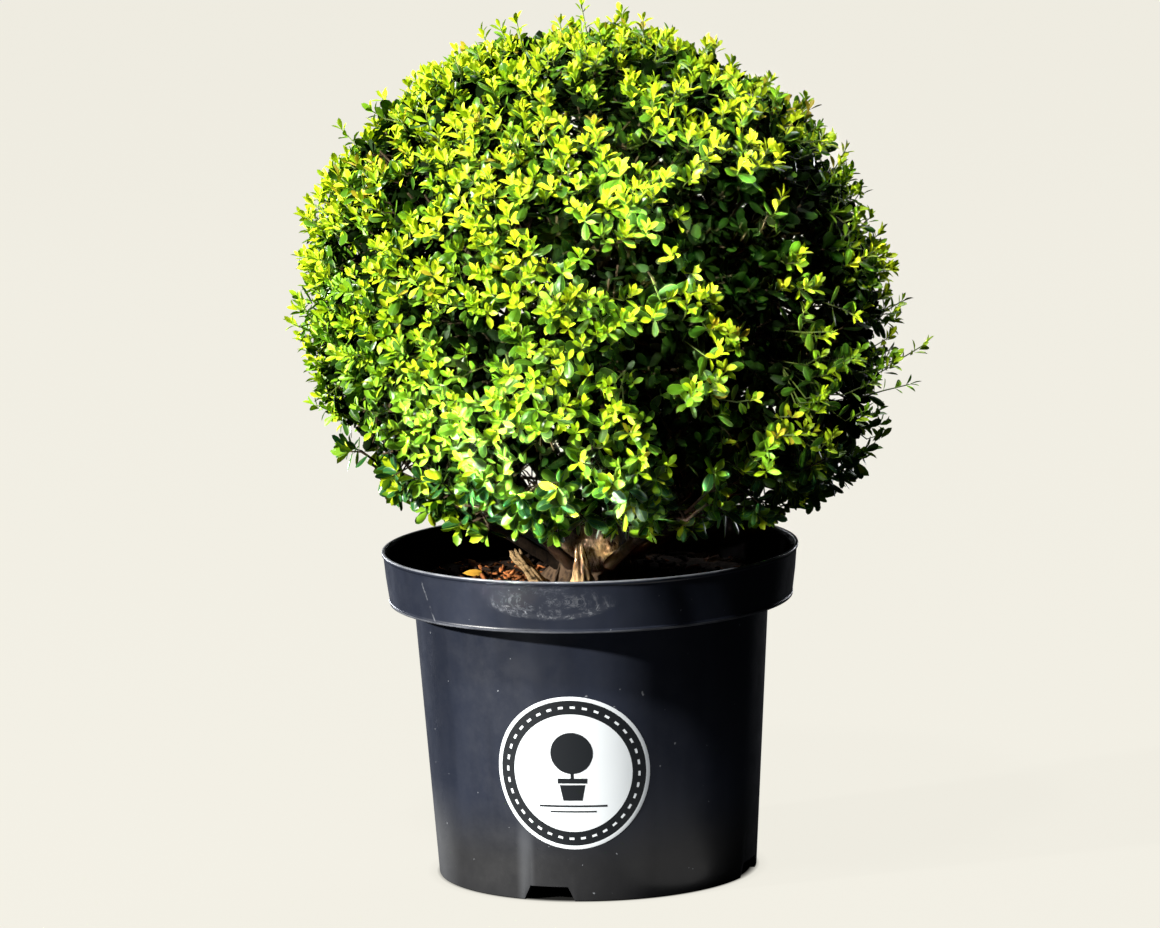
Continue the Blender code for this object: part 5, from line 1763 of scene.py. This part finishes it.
class HOLLYBALL_OT_make_label(bpy.types.Operator):
    """Builds the round label and its plain print"""

    bl_idname = "hollyball.make_label"
    bl_label = "Label"

    def execute(self, context):
        pot = context.scene.holly_ball.pot
        radius = pot.label_diameter / 2
        film = speckled_finish("label_film", tuple(pot.label_white), 0.30, 90, 3.0, 0.12, 0.0004)
        ink = speckled_finish("label_ink", tuple(pot.label_ink), 0.34, 90, 3.0, 0.12, 0.0004)
        points, faces, numbers = label_mesh(radius)
        label = new_piece("round_label", points, faces, [film, ink], "label", numbers, ["pot_label"])
        sharpen(label, 40)
        dark, white = label_print_meshes(radius)
        new_piece("label_picture", *join_meshes(dark), [ink], "label")
        points, faces = join_meshes(white)
        new_piece("label_dashes", points, [part[:, ::-1] for part in faces], [film], "label")
        return {"FINISHED"}


class HOLLYBALL_OT_make_soil(bpy.types.Operator):
    """Builds the soil's uneven top, the bark chips on it and a few fallen leaves"""

    bl_idname = "hollyball.make_soil"
    bl_label = "Soil"

    def execute(self, context):
        soil = context.scene.holly_ball.soil
        rng = np.random.default_rng(31)
        peat, chip = tuple(soil.colour), tuple(soil.chip_colour)
        crumbs = crumb_finish("peat", peat, scaled(peat, 4))
        new_piece("soil_surface", *soil_mesh(soil.roughness), [crumbs], "soil", replaces=["potting_soil"])
        tints = [
            crumb_finish("dark_chip", peat, scaled(peat, 3)),
            crumb_finish("brown_chip", scaled(chip, 0.12), scaled(chip, 0.3)),
            crumb_finish("red_chip", scaled(chip, 0.3), scaled(chip, 0.8)),
            crumb_finish("tan_chip", scaled(chip, 0.6), scaled(chip, 1.5)),
        ]
        count = soil.chips
        places, lengths, heap = chip_places(rng, count, soil.roughness)
        headings = rng.uniform(0, 2 * np.pi, count)
        points, faces = chip_meshes(rng, places, lengths, headings, rng.normal(0, 0.4, count))
        # Freshness sets each chip's tint, lighter in the heap; the chips on the right get darker tints as
        # painted shade.
        freshness_and_shade = noise(places, 0.05, 8) + rng.normal(0, 0.5, count) + heap - 0.9 * (places[:, 0] > 0)
        tint = np.digitize(freshness_and_shade, (-0.1, 0.45, 0.95))
        numbers = np.concatenate([np.repeat(tint, len(CHIP_OUTLINE)), tint, tint])
        new_piece("bark_chips", points, faces, tints, "soil", numbers, smooth=False)
        base, along, face, length, width, curl = (np.array(column) for column in zip(*FALLEN_LEAVES))
        leaves = {"base": base, "along": along, "face": face, "length": length, "width": width, "curl": curl}
        fallen = speckled_finish("fallen_leaf", (0.80, 0.42, 0.05), 0.5, 300, 3.0, 0.4, 0.0008)
        points, faces, numbers = spread_leaves(GROWN_LEAF, leaves, np.zeros((len(base), 4), int))
        new_piece("fallen_leaves", points, faces, [fallen], "foliage", numbers)
        return {"FINISHED"}


class HOLLYBALL_OT_make_wood(bpy.types.Operator):
    """Builds the trunk, the boughs and the two dead stubs, all with their bark or grain"""

    bl_idname = "hollyball.make_wood"
    bl_label = "Trunk and boughs"

    def execute(self, context):
        wood = context.scene.holly_ball.wood
        dark, light, bare = tuple(wood.bark_dark), tuple(wood.bark_light), tuple(wood.bare_wood)
        shaded = bark_finish("shaded_bark", scaled(dark, 0.2), scaled(light, 0.14))
        # The trunk's bark has a pale patch painted on round the knob, as a pool of light.
        bark_with_painted_light = painted_light_bark_finish(
            "trunk_bark", dark, light, scaled(bare, 0.22), PAINTED_LIGHT_PATCH, PAINTED_LIGHT_PATCH_RADIUS
        )
        stub_finishes = {
            "broken_stub": bark_finish("bare_wood", scaled(bare, 0.10), bare, 300, 0.14),
            "cut_stub": bark_finish("worn_wood", scaled(bare, 0.04), scaled(bare, 0.7), 200, 1.4),
        }
        new_piece("trunk_bark", *trunk_mesh(wood.relief), [bark_with_painted_light], "bark", replaces=["trunk"])
        nodes = [f"bough_{i + 1}" for i in range(MAIN_BOUGHS)] + ["bough_leader"]
        for i, (node, route) in enumerate(zip(nodes, main_routes())):
            limb = barked_limb(route, MAIN_RADII, wood.relief * 0.5, 70 + i, 0.25)
            new_piece(f"{node}_bark", *limb, [shaded], "bark", replaces=[node])
        for i, route in enumerate(low_routes()):
            node = f"low_bough_{i + 1}"
            limb = barked_limb(route, LOW_RADII, wood.relief * 0.4, 80 + i, 0.5)
            new_piece(f"{node}_bark", *limb, [shaded], "bark", replaces=[node])
        for name, node, foot, rise, *shape in STUBS:
            stub = stub_mesh(np.array((*foot, GROUND)), np.array(rise), *shape)
            new_piece(name, *stub, [stub_finishes[name]], "pale_wood", replaces=[node])
        return {"FINISHED"}


class HOLLYBALL_OT_make_crown(bpy.types.Operator):
    """Grows the crown from the main boughs: branches, twigs and shoots, and grown and young leaves"""

    bl_idname = "hollyball.make_crown"
    bl_label = "Clipped ball"

    def execute(self, context):
        foliage = context.scene.holly_ball.foliage
        rng = np.random.default_rng(11)
        limbs = crown_limbs(rng)
        shoots = crown_shoots(rng, foliage.shoots, limbs[-1])
        bark = bark_finish("twig_bark", (0.016, 0.012, 0.007), (0.070, 0.052, 0.028))
        green = speckled_finish("green_shoot", (0.10, 0.15, 0.02), 0.5, 300, 2.0, 0.3, 0.0005)
        tubes = [twig_mesh(routes, *tube) for routes, tube in zip(limbs[1:], CROWN_TUBES)]
        new_piece("crown_branches", *join_meshes(tubes), [bark], "bark", replaces=["crown"])
        tubes = twig_mesh(np.concatenate([shoots.routes, shoots.strays]), *SHOOT_TUBES)
        new_piece("crown_shoots", *tubes, [green], "foliage", replaces=["crown"])
        leaves = crown_grown_leaves(rng, shoots, foliage.grown_length)
        finishes = leaf_finishes(foliage, CROWN_GROWN_FINISHES)
        make_leaf_pieces("crown_grown_leaves", leaves, GROWN_LEAF, finishes, ["crown"], GROWN_PALE_STRIPS)
        leaves = crown_inner_leaves(rng, limbs, foliage.grown_length)
        finishes = leaf_finishes(foliage, CROWN_INNER_FINISHES)
        make_leaf_pieces("crown_inner_leaves", leaves, INNER_LEAF, finishes, ["crown"])
        leaves = crown_young_leaves(rng, shoots, foliage.young_length)
        finishes = leaf_finishes(foliage, CROWN_YOUNG_FINISHES)
        make_leaf_pieces("crown_young_leaves", leaves, YOUNG_LEAF, finishes, ["crown"])
        return {"FINISHED"}


class HOLLYBALL_OT_make_hem(bpy.types.Operator):
    """Grows the loose hem from the low boughs: one stem each, fanning twigs, shoots and leaves"""

    bl_idname = "hollyball.make_hem"
    bl_label = "Hem"

    def execute(self, context):
        foliage = context.scene.holly_ball.foliage
        rng = np.random.default_rng(47)
        nodes = [f"hem_spray_{i + 1}" for i in range(LOW_BOUGHS)]
        stems, ahead = hem_stems()
        twigs = hem_twigs(rng, stems, ahead)
        outer, inner = hem_shoots(rng, twigs)
        bark = bark_finish("hem_bark", (0.012, 0.008, 0.005), (0.06, 0.042, 0.025))
        tubes = [twig_mesh(routes, *tube) for routes, tube in zip((stems, twigs, outer, inner), HEM_TUBES)]
        new_piece("hem_twigs", *join_meshes(tubes), [bark], "bark", replaces=nodes)
        grown = foliage.grown_length
        leaves = leaves_on(rng, outer, HEM_GROWN_ROWS, grown, (0.42, 0.54), (0.05, 0.26), 0.45, lift=0.0)
        leaves["tint"] = np.digitize(rng.normal(0, 1, len(leaves["shoot"])), (0.2, 0.9))
        leaves = kept_in_space(leaves, HEM - 0.004, 0.004)
        finishes = leaf_finishes(foliage, HEM_GROWN_FINISHES)
        make_leaf_pieces("hem_grown_leaves", leaves, HEM_LEAF, finishes, nodes, HEM_PALE_STRIPS)
        leaves = leaves_on(rng, inner, HEM_INNER_ROWS, grown, (0.48, 0.60), (0.0, 0.12), 0.4)
        leaves["tint"] = (rng.random(len(leaves["shoot"])) < 0.3).astype(int)
        leaves = kept_in_space(leaves, HEM - 0.002, 0.0)
        finishes = leaf_finishes(foliage, HEM_INNER_FINISHES)
        make_leaf_pieces("hem_inner_leaves", leaves, INNER_LEAF, finishes, nodes)
        lively = outer[rng.random(len(outer)) < 0.75]
        young = foliage.young_length
        leaves = leaves_on(rng, lively, HEM_YOUNG_ROWS, young, (0.40, 0.52), (0.0, 0.2), 0.2, lift=0.25)
        leaves["tint"] = rng.integers(0, 4, len(leaves["shoot"])).clip(1, 3) - 1
        leaves = kept_in_space(leaves, HEM - 0.002, 0.014)
        finishes = leaf_finishes(foliage, HEM_YOUNG_FINISHES)
        make_leaf_pieces("hem_young_leaves", leaves, YOUNG_LEAF, finishes, nodes)
        return {"FINISHED"}


class HOLLYBALL_OT_make_stage(bpy.types.Operator):
    """Builds the plain floor, the lights and the camera"""

    bl_idname = "hollyball.make_stage"
    bl_label = "Stage"

    def execute(self, context):
        scene = context.scene
        stage = scene.holly_ball.stage
        make_floor(scene, tuple(stage.floor))
        world = bpy.data.worlds.new("studio")
        world.use_nodes = True
        background = world.node_tree.nodes["Background"]
        background.inputs["Color"].default_value = (0.86, 0.93, 1.0, 1.0)
        background.inputs["Strength"].default_value = stage.ambient
        scene.world = world
        for name, place, aim, size, share, watts, colour, spread in LIGHTS:
            soft_light(scene, name, place, aim, size, share * stage.key + watts, colour, spread)
        make_camera(scene)
        scene.view_settings.view_transform = "Standard"
        return {"FINISHED"}


class HOLLYBALL_PT_sidebar(bpy.types.Panel):
    """The potted holly ball's settings and steps"""

    bl_idname = "HOLLYBALL_PT_sidebar"
    bl_label = "Potted Holly Ball"
    bl_space_type = "VIEW_3D"
    bl_region_type = "UI"
    bl_category = "Holly Ball"

    def draw(self, context):
        settings = context.scene.holly_ball
        for title in ("pot", "soil", "wood", "foliage", "stage"):
            group = getattr(settings, title)
            box = self.layout.box()
            box.label(text=title.capitalize())
            for key in group.bl_rna.properties.keys():
                if key not in ("rna_type", "name"):
                    box.prop(group, key)
        for step in STEPS:
            self.layout.operator(step.bl_idname)


STEPS = (
    HOLLYBALL_OT_make_stage,
    HOLLYBALL_OT_make_pot,
    HOLLYBALL_OT_make_label,
    HOLLYBALL_OT_make_soil,
    HOLLYBALL_OT_make_wood,
    HOLLYBALL_OT_make_crown,
    HOLLYBALL_OT_make_hem,
)
CLASSES = (
    PotSettings,
    SoilSettings,
    WoodSettings,
    FoliageSettings,
    StageSettings,
    HollyBallSettings,
    *STEPS,
    HOLLYBALL_PT_sidebar,
)


def register():
    """Registers every class and gives the scene its settings."""
    for each in CLASSES:
        bpy.utils.register_class(each)
    bpy.types.Scene.holly_ball = PointerProperty(type=HollyBallSettings)


def unregister():
    """Takes the settings away and unregisters every class, the last first."""
    del bpy.types.Scene.holly_ball
    for each in reversed(CLASSES):
        bpy.utils.unregister_class(each)


def main():
    """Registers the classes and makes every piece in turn."""
    for obj in [o for o in bpy.data.objects if o.type in ("CAMERA", "LIGHT") or o.name == "Cube"]:
        bpy.data.objects.remove(obj)
    register()
    bpy.ops.hollyball.make_stage()
    bpy.ops.hollyball.make_pot()
    bpy.ops.hollyball.make_label()
    bpy.ops.hollyball.make_soil()
    bpy.ops.hollyball.make_wood()
    bpy.ops.hollyball.make_crown()
    bpy.ops.hollyball.make_hem()


if __name__ == "__main__":
    main()
